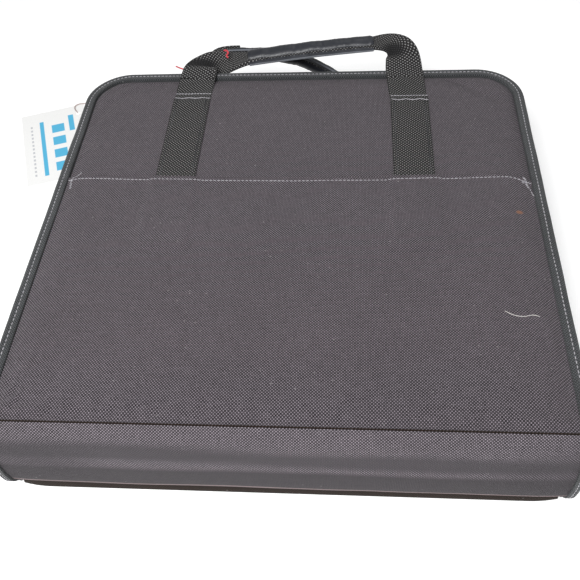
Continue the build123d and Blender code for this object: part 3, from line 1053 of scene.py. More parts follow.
class CASE_OT_covers(CaseOperator, bpy.types.Operator):
    """Makes the padded covers"""

    bl_idname = "case.covers"
    bl_label = "Padded Covers"

    def make(self, sizes, finish):
        near = front_skin_low.y

        def dome(x, y, edge):
            return case_top - 0.0002 - 0.0012 * np.exp(-edge / 0.0022) - 0.0011 * np.exp(-edge / 0.012)

        def flat_under(x, y, edge):
            return np.full_like(x, pad_under_front)

        front, edge = panel_slab("front_cover_cloth", panel_inset, near, flat_under, dome, finish["cloth"])
        edge = np.concatenate([edge, edge[:, ::-1]], axis=1).ravel()
        held = (get_points(front)[:, 2] < case_top - SHOULDER) | (edge < 0.004)
        puff(front, held, sizes.pad_rise, pad_under_front)
        points = get_points(front)
        upper = points[:, 2] > case_top - SHOULDER
        inner = np.clip(edge / 0.02, 0, 1)
        waves = ripple(points, 14.0, 2) * 0.00045 + ripple(points, 38.0, 5) * 0.0002
        points[:, 2] += np.where(upper, waves * inner, 0.0)
        set_points(front, points)
        belongs(front, "front_cover", ["front_cover_skin", "front_cover_foam"])
        lie_on["front"] = solid_tree(front)

        bed_x = [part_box("rear_strap_left"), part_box("rear_strap_right")]

        def bottom(x, y, edge):
            seam = 0.0013 * np.exp(-edge / 0.0035)
            bed = np.zeros_like(x)
            for low, high in bed_x:
                off = np.maximum(np.maximum(low.x - 0.0006 - x, x - high.x - 0.0006), low.y - 0.0006 - y)
                bed = np.maximum(bed, 0.00172 * (1 - np.clip(off / 0.0015, 0, 1)))
            return np.maximum(seam, bed)

        def flat_over(x, y, edge):
            return np.full_like(x, pad_over_back)

        back, _ = panel_slab("back_cover_cloth", panel_inset, near, bottom, flat_over, finish["cloth"], 120)
        belongs(back, "back_cover", ["back_cover_skin", "back_cover_foam"])


# The binding tape's sections: inset from the plan's edge, and height over its box's top or bottom, in millimetres
FRONT_BINDING = (
    (8.5, -0.95),
    (8.3, -0.30),
    (7.7, 0.02),
    (6.4, 0.10),
    (5.2, 0.02),
    (4.5, -0.22),
    (3.8, 0.02),
    (2.8, 0.22),
    (1.6, 0.05),
    (0.6, -0.55),
    (0.05, -1.6),
    (0.05, -3.1),
    (0.35, -4.3),
    (1.1, -4.85),
    (8.5, -4.9),
)
BACK_BINDING = ((8.5, 0.02), (1.4, 0.02), (0.5, 0.35), (0.1, 1.0), (0.3, 1.8), (1.1, 2.15), (8.5, 2.15))


class CASE_OT_bindings(CaseOperator, bpy.types.Operator):
    """Makes the tape that binds the covers, with its rows of stitches"""

    bl_idname = "case.bindings"
    bl_label = "Edge Binding"

    def make(self, sizes, finish):
        top, bottom = plan_high.z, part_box("back_cover_binding")[0].z
        for cover, base, profile, sway, seed in (
            ("front", top, FRONT_BINDING, 0.00035, 3),
            ("back", bottom, BACK_BINDING, 0.0003, 8),
        ):
            section = [(a * MM, base + b * MM) for a, b in profile]
            tape = round_rim(f"{cover}_cover_binding_tape", section, binding_start, finish["tape"], sway, seed)
            belongs(tape, f"{cover}_cover", [f"{cover}_cover_binding"])
        for cover, height, up, sway, seed in (
            ("front", top - 0.00008, UP, 0.0004, 2),
            ("back", bottom + 0.00012, DOWN, 0.0, 3),
        ):
            path, out = rim_line(binding_start + 0.003, BINDING_SEAM)
            path[:, :2] += out[:, :2] * (ripple(path, 26.0, 4) * sway)[:, None]
            path[:, 2] = height
            name = f"{cover}_binding_stitches"
            stitches(name, f"{cover}_cover", [(path, up)], sizes.stitch_pitch, finish["thread"], 0.12, seed)


def spine_line(bulge, count=40):
    """The spine's outer line from its lower edge to the upper fold, as (y, z).

    It hangs, so it stands out most low down.
    """
    z_low, z_high = 0.0095, case_top - 0.0016
    t = np.linspace(0, 1, count)
    t = 0.5 - 0.5 * np.cos(t * math.pi)
    z = z_low + t * (z_high - z_low)
    down = 1 - (z - 0.0012) / (z_high - 0.0012)
    away = np.abs(2 * down**1.12 - 1)
    out = bulge * (1 - away**3.6)
    out -= 0.0040 * np.exp(-(z - z_low) / 0.006) + 0.0016 * np.exp(-(((z - 0.057) / 0.010) ** 2))
    return case_near - 0.0007 - out, z


# The spine's folds as (y, z), and its end binding's section as (inwards, outwards), in millimetres
UPPER_FOLD = ((-173.4, 87.0), (-174.9, 86.3), (-175.9, 84.9), (-176.2, 83.4))
LOWER_FOLD = (
    (-173.4, 0.7),
    (-178.0, 0.7),
    (-181.5, 0.8),
    (-183.0, 1.7),
    (-183.1, 3.4),
    (-182.2, 6.5),
    (-180.9, 10.5),
)
END_BINDING = (
    (5.2, -1.2),
    (5.1, 0.15),
    (4.3, 0.3),
    (3.0, 0.12),
    (1.8, 0.3),
    (0.7, 0.1),
    (0.0, -0.6),
    (0.0, -3.2),
    (0.8, -3.9),
    (5.2, -3.9),
)


class CASE_OT_spine(CaseOperator, bpy.types.Operator):
    """Makes the padded spine, its end bindings and the cloth of its folds"""

    bl_idname = "case.spine"
    bl_label = "Spine"

    def make(self, sizes, finish):
        half = spine_high.x
        self.padding(half, sizes, finish)
        for side, way in (("left", -1), ("right", 1)):
            self.end_binding(side, way, sizes, finish)
        fold_half = half - 0.0002
        xs = np.linspace(-fold_half, fold_half, 90)
        for name, body, thick, points in (
            ("upper_fold_cloth", "front_cover", 0.0006, UPPER_FOLD),
            ("lower_fold_cloth", "back_cover", -0.0006, LOWER_FOLD),
        ):
            line = np.array(points) * MM
            ahead = unit(np.gradient(line, axis=0))
            normal = np.stack([-ahead[:, 1], ahead[:, 0]], axis=1)
            shell = np.vstack([line, (line + normal * thick)[::-1]])
            grid = np.zeros((len(xs), len(shell), 3))
            grid[..., 0] = xs[:, None]
            grid[..., 1:] = shell[None]
            if body == "back_cover":
                inward = np.clip((fold_half - abs(xs)) / 0.020, 0, 1)
                outer = np.clip((case_near - grid[..., 1]) / 0.006, 0, 1)
                grid[..., 1] += (0.0022 * (1 - inward) ** 2)[:, None] * outer
            # Both folds wear the dark brown painted shade
            fold = lattice(name, grid, finish["fold"], 60.0)
            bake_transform(fold, body, "spine", (0.0, *line[0]), (0.0, *line[-1]))

    def padding(self, half, sizes, finish):
        """The spine's padded cloth, as a section carried from end to end."""
        y, z = spine_line(sizes.spine_bulge)
        xs = np.linspace(-half, half, 120)
        inner_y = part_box("spine_foam")[1].y
        inner = np.array([(inner_y, z[-1] - 0.007), (inner_y, z[0] + 0.004), (y[0] + 0.004, z[0] + 0.0006)])
        section = np.vstack([np.stack([y, z], axis=1), inner])
        n = len(section)
        grid = np.zeros((len(xs), n, 3))
        grid[..., 0] = xs[:, None]
        grid[..., 1:] = section[None]
        points = grid.reshape(-1, 3)
        waves = ripple(points * np.array([1.0, 1.0, 2.0]), 13.0, 11) * 0.0009 + ripple(points, 34.0, 12) * 0.00035
        share = np.zeros(n)
        share[: len(y)] = np.sin(np.linspace(0, math.pi, len(y))) ** 0.7
        ends = np.exp(-(half - abs(xs)) / 0.012) * 0.0012
        grid[..., 1] += waves.reshape(len(xs), n) * share[None]
        grid[..., 1] += ends[:, None] * share[None]
        spine = lattice("spine_cloth", grid, finish["spine"], 60.0)
        belongs(spine, "spine", ["spine_skin", "spine_foam"])

    def end_binding(self, side, way, sizes, finish):
        """The tape on one end of the spine, with its stitches."""
        y, z = spine_line(sizes.spine_bulge + 0.0006, 30)
        edge = case_half * way
        foot = np.array([(edge, -0.1765, 0.0045), (edge, -0.1792, 0.0047), (edge, -0.1812, 0.0066)])
        path = np.vstack([foot, np.stack([np.full_like(y, edge), y, z], axis=1)[1:-1]])
        ahead = unit(np.gradient(path, axis=0))
        out = np.stack([np.zeros(len(path)), -ahead[:, 2], ahead[:, 1]], axis=1)
        across = np.tile([-way, 0.0, 0.0], (len(path), 1))
        piece = sweep(f"spine_binding_{side}", path, across, out, np.array(END_BINDING) * MM, finish["tape"])
        belongs(piece, "spine", ["spine_end_bindings"])
        line = path + across * 0.0029 + out * 0.0002
        rows = [(line[1:-1], out[1:-1])]
        stitches(f"spine_stitches_{side}", "spine", rows, sizes.stitch_pitch, finish["thread"], 0.12, 6)


class CASE_OT_walls(CaseOperator, bpy.types.Operator):
    """Makes the cloth walls and the zip's tapes, coils and stops"""

    bl_idname = "case.walls"
    bl_label = "Walls and Zip"

    def make(self, sizes, finish):
        for side, body, seed in (("lower", "back_cover", 1), ("upper", "front_cover", 2)):
            low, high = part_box(f"{side}_wall")
            heights = np.linspace(low.z, high.z, 9)
            sag = np.sin(np.linspace(0, math.pi, 9)) * 0.0007
            section = [(0.0010 - s, h) for s, h in zip(sag, heights)] + [(0.0034, h) for h in heights[::-1]]
            wall = round_rim(f"{side}_wall_cloth", section, low.y, finish["wall"], 0.0005, seed * 7)
            belongs(wall, body, [f"{side}_wall"])
            self.zip_half(side, body, seed, sizes, finish)
            stop_low, stop_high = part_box(f"{side}_zip_stops")
            centre = (stop_low + stop_high) / 2
            work = bmesh.new()
            for way in (-1, 1):
                middle = Vector((way * (stop_high.x - 0.0013), centre.y, centre.z))
                for v in bmesh.ops.create_cube(work, size=1.0)["verts"]:
                    v.co = middle + Vector((v.co.x * 0.0027, v.co.y * 0.0029, v.co.z * 0.0021))
            bmesh.ops.bevel(work, geom=work.edges[:], offset=0.0005, segments=2, affect="EDGES")
            stops = piece_of(work, f"{side}_zip_end_stops", finish["metal"])
            belongs(stops, body, [f"{side}_zip_stops"])

    def zip_half(self, side, body, seed, sizes, finish):
        """One half of the zip: its tape, the tape's stitches and its coil."""
        low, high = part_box(f"{side}_zip_tape")
        free, sewn = (high.z, low.z) if side == "lower" else (low.z, high.z)
        step = free - sewn
        section = [
            (0.0006, sewn - step * 0.25),
            (0.0005, sewn + step * 0.30),
            (0.0010, sewn + step * 0.48),
            (0.0016, sewn + step * 0.60),
            (0.0016, free),
            (0.0026, free),
            (0.0026, sewn + step * 0.02),
            (0.0012, sewn - step * 0.02),
        ]
        tape = round_rim(f"{side}_zip_cloth", section, low.y, finish["tape"], 0.00015, seed * 5)
        belongs(tape, body, [f"{side}_zip_tape"])
        path, out = rim_line(low.y + 0.002, 0.0003)
        path[:, 2] = sewn + step * 0.12
        name = f"{side}_zip_stitches"
        stitches(name, body, [(path, out)], sizes.stitch_pitch, finish["dark_thread"], 0.1, 9)
        low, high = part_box(f"{side}_zip_coil")
        path, out = rim_line(low.y + 0.001, case_far - high.y + 0.0013)
        path[:, 2] = (low.z + high.z) / 2
        name = f"{side}_zip_teeth"
        teeth = row_of(name, [(path, UP)], shared["tooth"], sizes.tooth_pitch, finish["coil"], 0.02, 4)
        belongs(teeth, body, [f"{side}_zip_coil"])


def piece_of(work, name, material, sharp=50.0, closed=True):
    """Turns a bmesh into a finished piece, and frees it."""
    mesh = bpy.data.meshes.new(name)
    work.to_mesh(mesh)
    work.free()
    return finish_mesh(name, mesh, material, sharp, closed)


def absorb(work, piece):
    """Moves a piece's mesh into a bmesh."""
    work.from_mesh(piece.data)
    bpy.data.objects.remove(piece)


def rounded_plate(work, outline, thick, bevel):
    """A flat plate with rounded edges. The outline is points in its own plane."""
    face = work.faces.new([work.verts.new((x, 0.0, z)) for x, z in outline])
    made = bmesh.ops.extrude_face_region(work, geom=[face])
    for v in made["geom"]:
        if isinstance(v, bmesh.types.BMVert):
            v.co.y += thick
    rim = [e for e in work.edges if e.calc_length() > 0 and abs(e.verts[0].co.y - e.verts[1].co.y) < 1e-7]
    bmesh.ops.bevel(work, geom=rim, offset=bevel, segments=2, affect="EDGES")
    bmesh.ops.recalc_face_normals(work, faces=work.faces)


def arc(centre, r, reach, count):
    """Points of an arc to either side of the x axis, from -reach to reach degrees."""
    turns = [math.radians(a) for a in np.linspace(-reach, reach, count)]
    return [(centre + r * math.cos(a), r * math.sin(a)) for a in turns]


# The slider's bridge in millimetres, and the pull's width from heel to tip as shares
BRIDGE = ((-5.0, 0.2), (-4.7, 3.0), (-3.6, 4.2), (0.0, 4.75), (3.6, 4.2), (4.7, 3.0), (5.0, 0.2))
PULL_WIDTHS = ((0, 0.06, 0.3, 0.42, 0.9, 0.97, 1.0), (0.55, 0.86, 0.98, 0.80, 1.0, 0.9, 0.55))


class CASE_OT_sliders(CaseOperator, bpy.types.Operator):
    """Makes the zip's two sliders and their pulls"""

    bl_idname = "case.sliders"
    bl_label = "Zip Sliders"

    def make(self, sizes, finish):
        for side, way in (("left", -1), ("right", 1)):
            low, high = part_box(f"zip_slider_{side}")
            middle = (low + high) / 2
            face = slider_face(high.y)
            half_long, half_tall = (high.x - low.x) / 2, (high.z - low.z) / 2
            nose = [(-half_long, -half_tall * 0.62), (half_long * 0.4, -half_tall)]
            nose += arc(half_long - half_tall * 0.45, half_tall * 0.96, 62, 9)
            nose += [(half_long * 0.4, half_tall), (-half_long, half_tall * 0.62)]
            nose = [(min(x, half_long), z) for x, z in nose]
            work = bmesh.new()
            for y in (low.y, face):
                part = bmesh.new()
                rounded_plate(part, nose, PLATE, 0.00035)
                for v in part.verts:
                    v.co = Vector((middle.x + way * v.co.x, v.co.y + y, v.co.z + middle.z))
                merge(work, part)
            part = bmesh.new()
            post_y = (low.y + face) / 2 + PLATE / 2
            for v in bmesh.ops.create_cube(part, size=1.0)["verts"]:
                x, y, z = v.co.x * 0.005, v.co.y * (face - low.y), v.co.z * PLATE
                v.co = Vector((middle.x + x, post_y + y, middle.z + z))
            merge(work, part)
            face += PLATE
            scale = (high.y - face) / (5.45 * MM)
            path = [(middle.x + x * MM, face - 0.0003 + y * MM * scale, middle.z) for x, y in BRIDGE]
            path = smooth_path(path, 20)
            ahead = unit(np.gradient(path, axis=0))
            up = np.tile([0.0, 0.0, 1.0], (len(path), 1))
            section = band_section(0.003, 0.0014, 3)
            absorb(work, sweep(f"bridge_{side}", path, up, np.cross(ahead, up), section, finish["metal"]))
            slider = piece_of(work, f"slider_{side}", finish["metal"], 40.0, closed=False)
            belongs(slider, f"{side}_slider", [f"zip_slider_{side}"])
            self.pull(side, way, middle, finish)

    def pull(self, side, way, middle, finish):
        """A tab with an eye at its heel and a ribbed grip at its tip."""
        low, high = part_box(f"zip_pull_{side}")
        reach, tall = high.x - low.x, high.z - low.z
        heel = middle.x - way * (reach - abs((high.x if way > 0 else low.x) - middle.x))
        t = np.linspace(0, 1, 34)
        widths = np.interp(t, *PULL_WIDTHS) * tall / 2
        thick = (high.y - low.y) / 2
        y_mid = (low.y + high.y) / 2
        ribs = np.where((t > 0.5) & (t < 0.93), np.sin((t - 0.5) * 110.0) * 0.12 * thick, 0.0)
        eye_from, eye_to = 0.085, 0.37
        work = bmesh.new()
        for sign in (-1, 1):
            grid = []
            for share, wide, rib in zip(t, widths, ribs):
                x, th = heel + way * share * reach, thick + rib
                inner = 0.0
                if eye_from <= share <= eye_to:
                    s = (share - eye_from) / (eye_to - eye_from)
                    inner = 0.0023 * math.sqrt(max(0.0, 1 - (2 * s - 1) ** 6))
                e = min(0.0004, (wide - inner) * 0.3)
                edge = [(wide - e, th), (wide, th * 0.3), (wide, -th * 0.3), (wide - e, -th)]
                ring = [(inner, -th), (inner, th), *edge]
                grid.append([(x, y_mid + b, middle.z + sign * a) for a, b in ring])
            absorb(work, lattice(f"pull_half_{side}_{sign}", np.array(grid), finish["metal"]))
        bmesh.ops.remove_doubles(work, verts=work.verts, dist=1e-6)
        pull = piece_of(work, f"pull_{side}", finish["metal"], 35.0)
        belongs(pull, f"{side}_pull", [f"zip_pull_{side}"])


def slider_face(outer_y):
    """Where the slider's outer plate starts, from the outermost point of its bridge."""
    return outer_y - 0.0062


def merge(work, part):
    """Adds one bmesh to another and frees it."""
    mesh = bpy.data.meshes.new("part")
    part.to_mesh(mesh)
    part.free()
    work.from_mesh(mesh)
    bpy.data.meshes.remove(mesh)


# The strokes of thread that tack the pocket's two top corners, in millimetres
CORNER_STROKES = (
    ((-178.6, 37.0), (-177.8, 28.5)),
    ((-177.6, 36.0), (-176.9, 29.0)),
    ((-178.2, 37.0), (-172.4, 45.5)),
    ((175.2, 35.5), (177.6, 28.0)),
    ((176.4, 35.0), (180.8, 20.5)),
    ((178.6, 33.0), (174.6, 31.5)),
)


class CASE_OT_pocket(CaseOperator, bpy.types.Operator):
    """Makes the slip pocket on the front cover, with its hem and stitches"""

    bl_idname = "case.pocket"
    bl_label = "Front Pocket"

    def make(self, sizes, finish):
        low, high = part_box("front_pocket")
        half, near, hem = high.x - 0.0001, low.y, high.y
        t = np.linspace(-1, 1, 150)
        x = half * (0.5 * t + 0.5 * np.sin(t * math.pi / 2))
        s = np.linspace(0, 1, 96)
        s = 0.6 * s + 0.4 * (1 - np.cos(s * math.pi)) / 2

        def hem_at(x):
            droop = 0.0046 * np.clip((x - half + 0.019) / 0.014, 0, 1) ** 1.5
            return hem - sizes.hem_sag * (1 - (x / half) ** 2) ** 0.8 - droop

        hem_line = hem_at(x)
        y = near + s[:, None] * (hem_line[None] - near)
        x = np.broadcast_to(x[None], y.shape)
        lower = self.bed(x, y, near, half)
        from_hem = hem_line[None] - y
        turned = 1 / (1 + np.exp((from_hem - HEM_FOLD) / 0.0003))
        seam = np.exp(-(((from_hem - HEM_SEAM) / 0.0007) ** 2))
        roll = np.clip(from_hem / 0.0012, 0, 1)
        thick = (0.0007 + turned * 0.0009 - seam * 0.0005) * (0.45 + 0.55 * np.sqrt(roll))
        top = np.stack([x, y, lower + thick], axis=2)
        under = np.stack([x, y, lower + np.where(from_hem < 0.0012, (1 - roll) * 0.0003, 0)], axis=2)
        pocket = two_faced("front_pocket_cloth", top, under, finish["cloth"], 70.0)
        data = pocket.data.uv_layers["UVMap"].data
        spots = np.zeros(len(data) * 2)
        data.foreach_get("uv", spots)
        data.foreach_set("uv", (spots.reshape(-1, 2) + np.array([0.0003, 0.0004])).astype(np.float32).ravel())
        belongs(pocket, "front_cover", ["front_pocket"])
        tree = lie_on["pocket"] = solid_tree(pocket)
        line = []
        for a in np.linspace(-half + 0.0010, half - 0.0010, 220):
            b = hem_at(a) - HEM_SEAM
            line.append((a, b, surface_height(tree, a, b, case_top + 0.002) + 0.00012))
        pitch = sizes.stitch_pitch * 0.92
        seam = stitches("pocket_hem_stitches", "front_cover", [(line, UP)], pitch, finish["thread"], 0.10, 11)
        strokes = []
        for start, stop in CORNER_STROKES:
            start, stop = np.array(start), np.array(stop)
            spots = (start + np.linspace(0, 1, 9)[:, None] * (stop - start)) * MM
            strokes.append(([(a, b, surface_height(tree, a, b, case_top) + 0.0001) for a, b in spots], UP))
        tacks = stitches("pocket_corner_tacks", "front_cover", strokes, 0.0024, finish["thread"], 0.35, 12)

    def bed(self, x, y, near, half):
        """The height of the pocket's under face: over the cover's padding and the straps' ends."""
        tree = lie_on["front"]
        spots = zip(np.clip(x, -half, half).ravel(), y.ravel())
        floor = np.array([surface_height(tree, a, b, case_top) for a, b in spots]).reshape(x.shape)
        floor = np.maximum(floor, case_top - 0.0018)
        side = np.minimum(half - abs(x), y - near)
        puffed = 1 - np.exp(-np.maximum(side, 0) / 0.010)
        points = np.stack([x, y, np.zeros_like(x)], axis=2).reshape(-1, 3)
        folds = ripple(points * np.array([1.6, 0.6, 1.0]), 11.0, 21).reshape(x.shape)
        room = 0.0003 + puffed * (0.0007 + 0.0005 * folds + 0.0002 * flat_ripple(x, y, 34.0, 22))
        strap_low, strap_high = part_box("front_strap_left")
        off = np.maximum(abs(abs(x) - abs(strap_low.x + strap_high.x) / 2) - 0.0165, 0.0)
        over = np.exp(-((off / 0.0045) ** 2)) * np.clip((y - strap_low.y + 0.008) / 0.010, 0, 1)
        room = np.maximum(room, over * 0.0021 + 0.0001)
        return floor + np.where(side < 0.0035, np.minimum(room, 0.0024), room)


# Width and thickness of the webbing where it lies flat, in millimetres
WEBBING = (32.0, 1.5)


def strap_stations(x, start, stop):
    """Stations of a strap that lies on the front cover."""
    made = []
    for y in np.linspace(start, stop, 26):
        wander = noise.noise(Vector((x * 9, y * 11, 3.0))) * 0.0004
        height = surface_height(lie_on["front"], x, y, case_top)
        made.append((((x + wander) / MM, y / MM, (height + 0.0009) / MM), (1, 0, 0), *WEBBING))
    return made


class CASE_OT_straps(CaseOperator, bpy.types.Operator):
    """Makes the straps that are sewn to the covers"""

    bl_idname = "case.straps"
    bl_label = "Straps"

    def make(self, sizes, finish):
        # How far past the strap its seam to the handle is, and where its two rows of tacking lie
        for side, past, tack_rows in (("left", 0.0080, (0.1434, 0.1367)), ("right", 0.0010, (0.1366, 0.1308))):
            name = f"front_strap_{side}"
            low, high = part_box(name)
            x = (low.x + high.x) / 2
            stations = strap_stations(x, low.y, high.y - 0.004) + leg_stations("front", side)[:3]
            sewn = high.y + past
            strap, path, wide, up = ribbon(f"{name}_webbing", stations, 100, finish["webbing"], 11)
            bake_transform(strap, "front_cover", "front_handle", (0.0, sewn, case_top), (0.0, sewn + 0.012, case_top))
            named(strap, [name])
            flat = path[:, 1] < tack_rows[1] - 0.002
            path, wide, up = path[flat], wide[flat], up[flat]
            seams = [(path + wide * way * 0.0127 + up * 0.00085, up) for way in (-1, 1)]
            stitches(f"{name}_stitches", "front_cover", seams, 0.0030, finish["dark_thread"], 0.1, 5)
            rows = []
            on_strap = solid_tree(strap)
            for row_y, weave in zip(tack_rows, (0.00015, 0.0006)):
                line = []
                for k, a in enumerate(np.linspace(-TACK_HALF, TACK_HALF, 26) + x):
                    b = row_y + (weave if k % 2 == 0 else -weave)
                    line.append((a, b, surface_height(on_strap, a, b, case_top) + 0.00015))
                rows.append((line, UP))
            stitches(f"{name}_cross_stitches", "front_cover", rows, TACK_PITCH, finish["thread"], 0.28, 14)
            self.rear_strap(side, finish)

    def rear_strap(self, side, finish):
        """A strap under the back cover, up to the rear handle's leg."""
        name = f"rear_strap_{side}"
        low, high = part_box(name)
        x = (low.x + high.x) / 2
        stations = [((x / MM, y / MM, 0.82), (1, 0, 0), *WEBBING) for y in np.linspace(low.y, high.y - 0.006, 14)]
        stations += leg_stations("rear", side)[:3]
        strap, *_ = ribbon(f"{name}_webbing", stations, 90, finish["webbing"], 7)
        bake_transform(strap, "back_cover", "rear_handle", (0.0, 0.1745, 0.0008), (0.0, 0.1815, 0.0060))
        named(strap, [name])
        xs = x + np.linspace(-TACK_HALF, TACK_HALF, 24)
        rows = [([(a, high.y - back, 0.00012) for a in xs], DOWN) for back in (0.016, 0.021)]
        stitches(f"{name}_cross_stitches", "back_cover", rows, TACK_PITCH, finish["thread"], 0.28, 15)


# The handles, in millimetres. A grip is the middle line of its leather, with the direction across it
GRIPS = {
    "front": (
        ((-48.5, 188.5, 94.0), (-11.0, 192.6, 96.6), (26.5, 196.6, 98.1), (63.7, 200.5, 99.0)),
        (-0.105, 0.99, 0.0),
    ),
    "rear": (
        (
            (-70.8, 214.0, 81.9),
            (-50.9, 214.0, 82.1),
            (-32.0, 214.0, 81.1),
            (-13.3, 214.0, 78.1),
            (0.6, 214.0, 72.9),
            (14.6, 214.0, 65.4),
            (34.5, 214.0, 51.8),
        ),
        (-0.08, 0.61, -0.79),
    ),
}
# Each leg runs from its cover to its grip, and twists as it folds into the leather. A row is a point on its
# middle line, the direction across the webbing there, and the webbing's width and thickness
LEGS = {
    ("front", "left"): (
        (-93.4, 140.5, 89.4, 1, 0, 0, 32.0, 1.5),
        (-93.1, 152.0, 89.7, 1, 0, 0, 32.0, 1.5),
        (-92.5, 163.0, 91.2, 1, 0, 0.02, 32.0, 1.5),
        (-91.6, 170.5, 93.0, 1, 0, 0.04, 32.0, 1.5),
        (-91.0, 176.3, 93.6, 1, 0.02, 0.05, 32.0, 1.6),
        (-89.0, 181.5, 91.8, 0.97, -0.06, -0.20, 31.0, 1.7),
        (-82.0, 186.5, 89.4, 0.84, -0.38, -0.40, 28.0, 2.2),
        (-72.5, 189.4, 89.0, 0.55, -0.75, -0.36, 24.0, 2.8),
        (-61.0, 189.4, 91.2, 0.22, -0.95, -0.22, 20.0, 3.6),
        (-48.5, 188.6, 94.0, 0.1, -0.99, -0.02, 17.0, 4.2),
        (-38.0, 189.6, 94.8, 0.1, -0.99, 0.0, 15.0, 4.5),
    ),
    ("front", "right"): (
        (92.6, 140.5, 89.4, 1, 0, 0, 32.0, 1.5),
        (91.8, 152.0, 89.8, 1, 0, 0, 32.0, 1.5),
        (91.0, 163.0, 90.6, 1, 0, 0, 32.0, 1.5),
        (90.4, 173.0, 92.0, 1, 0, 0, 32.0, 1.5),
        (90.0, 181.0, 94.4, 1, 0.03, 0.0, 31.0, 1.6),
        (89.0, 187.5, 97.4, 0.96, 0.22, 0.10, 29.0, 1.7),
        (86.0, 192.5, 100.2, 0.82, 0.50, 0.22, 26.5, 2.0),
        (80.5, 196.5, 101.6, 0.50, 0.80, 0.24, 23.0, 2.6),
        (73.0, 199.2, 101.2, 0.16, 0.95, 0.16, 20.0, 3.4),
        (63.7, 200.6, 99.6, -0.08, 0.99, 0.04, 17.0, 4.2),
        (54.0, 199.5, 98.8, -0.1, 0.99, 0.0, 15.0, 4.5),
    ),
    ("rear", "left"): (
        (-93.5, 177.2, 1.15, 1, 0, 0, 32.0, 1.5),
        (-93.5, 180.6, 3.6, 1, 0, 0, 32.0, 1.5),
        (-94.0, 187.0, 14.0, 1, 0, 0, 32.0, 1.5),
        (-96.0, 196.5, 38.0, 1, 0, 0, 32.0, 1.5),
        (-98.5, 203.0, 55.5, 0.98, 0, -0.15, 32.0, 1.6),
        (-96.0, 206.0, 66.0, 0.84, 0, -0.54, 31.0, 1.8),
        (-90.0, 208.5, 71.0, 0.58, -0.1, -0.81, 28.0, 2.1),
        (-83.0, 211.0, 75.2, 0.22, -0.3, -0.93, 22.0, 2.8),
        (-77.0, 213.0, 79.4, 0.10, -0.4, -0.91, 19.0, 3.6),
        (-70.8, 213.6, 82.0, 0.05, -0.45, -0.89, 15.2, 4.4),
        (-60.0, 214.0, 82.1, 0.02, -0.62, -0.78, 15.0, 4.5),
    ),
    ("rear", "right"): (
        (93.5, 177.2, 1.15, 1, 0, 0, 32.0, 1.5),
        (93.5, 180.6, 3.6, 1, 0, 0, 32.0, 1.5),
        (91.6, 186.5, 11.5, 1, 0, 0.05, 32.0, 1.5),
        (80.5, 196.0, 26.0, 0.92, -0.1, 0.38, 29.0, 1.8),
        (66.0, 204.5, 37.0, 0.72, -0.35, 0.60, 23.0, 2.6),
        (50.0, 211.0, 45.0, 0.55, -0.55, 0.63, 18.0, 3.6),
        (35.0, 213.8, 51.4, 0.43, -0.66, 0.62, 15.2, 4.4),
        (24.0, 214.0, 59.0, 0.43, -0.66, 0.62, 15.0, 4.5),
    ),
}


def leg_stations(handle, side):
    """Stations of a handle's leg, from its strap to its grip."""
    return [(row[:3], row[3:6], row[6], row[7]) for row in LEGS[handle, side]]


def grip_section(swell):
    """The grip's section in millimetres: leather rolled round the webbing, its two edges sewn in a flat lip."""
    turns = [math.radians(a) for a in np.linspace(-152, 152, 23)]
    roll = [(7.9 * math.cos(a) + 1.9, 5.7 * swell * math.sin(a)) for a in turns]
    lip = [(-6.2, -1.6), (-9.1, -1.25), (-10.0, -0.75), (-9.65, 0.05), (-10.0, 0.75), (-9.1, 1.25), (-6.2, 1.6)]
    return np.array(lip + roll)


class CASE_OT_handles(CaseOperator, bpy.types.Operator):
    """Makes the two carrying handles: webbing, leather grips and their stitches"""

    bl_idname = "case.handles"
    bl_label = "Handles"

    def make(self, sizes, finish):
        for name, (line, across) in GRIPS.items():
            body = f"{name}_handle"
            pieces = []
            for side, seed in (("left", 31), ("right", 32)):
                stations = leg_stations(name, side)[2:]
                leg, *_ = ribbon(f"{body}_{side}_leg", stations, 70, finish["webbing"], 11, seed, 0.00025)
                pieces.append(leg)
            stations = [(place, across, 15.0, 4.5) for place in line]
            core, *_ = ribbon(f"{body}_core", stations, 24, finish["webbing"], 5)
            for piece in (*pieces, core):
                belongs(piece, body, [f"{body}_webbing"])
            self.grip(name, body, np.array(line) * MM, np.array(across), finish)

    def grip(self, name, body, line, across, finish):
        """The leather rolled round a handle, with the stitches and the painted edge of its lip."""
        count = 130
        path = smooth_path(line, count)
        ahead = unit(np.gradient(path, axis=0))
        wide = unit(across - ahead * (ahead @ across)[:, None])
        up = np.cross(ahead, wide)
        if name == "front" and up[0][2] < 0:
            up = -up
        sections = []
        for k, a in enumerate(np.linspace(0, GRIP_LENGTH, count)):
            broad = noise.noise(Vector((a * 130, 2.0, 0.3))) * 0.11
            fine = noise.noise(Vector((a * 360, 1.0, 4.3))) * 0.05
            ends = min(1.0, min(k, count - 1 - k) / 3.0)
            section = grip_section(1.0 + (broad + fine)) * MM * (0.90 + 0.10 * ends)
            wave = noise.noise(Vector((a * 60, 7.0, 1.3))) * 0.0006
            section[:, 0] += np.where(section[:, 0] < -0.005, wave, 0)
            sections.append(section)
        leather = sweep(f"{name}_grip_leather", path, wide, up, sections, finish["leather"], 65.0)
        belongs(leather, body, [f"{name}_handle_grip"])
        rows = []
        for way in (-1, 1):
            row = path[2:-2] + wide[2:-2] * (-0.0066) + up[2:-2] * (way * 0.0019)
            rows.append((row, up[2:-2] * way))
        stitches(f"{name}_grip_stitches", body, rows, 0.0042, finish["dark_thread"], 0.05, 8)
        path, wide, up = path[1:-1], wide[1:-1], up[1:-1]
        section = band_section(0.0007, 0.0015, 2)
        edge = sweep(f"{name}_grip_edge_paint", path - wide * 0.0101, wide, up, section, finish["edge"])
        belongs(edge, body)


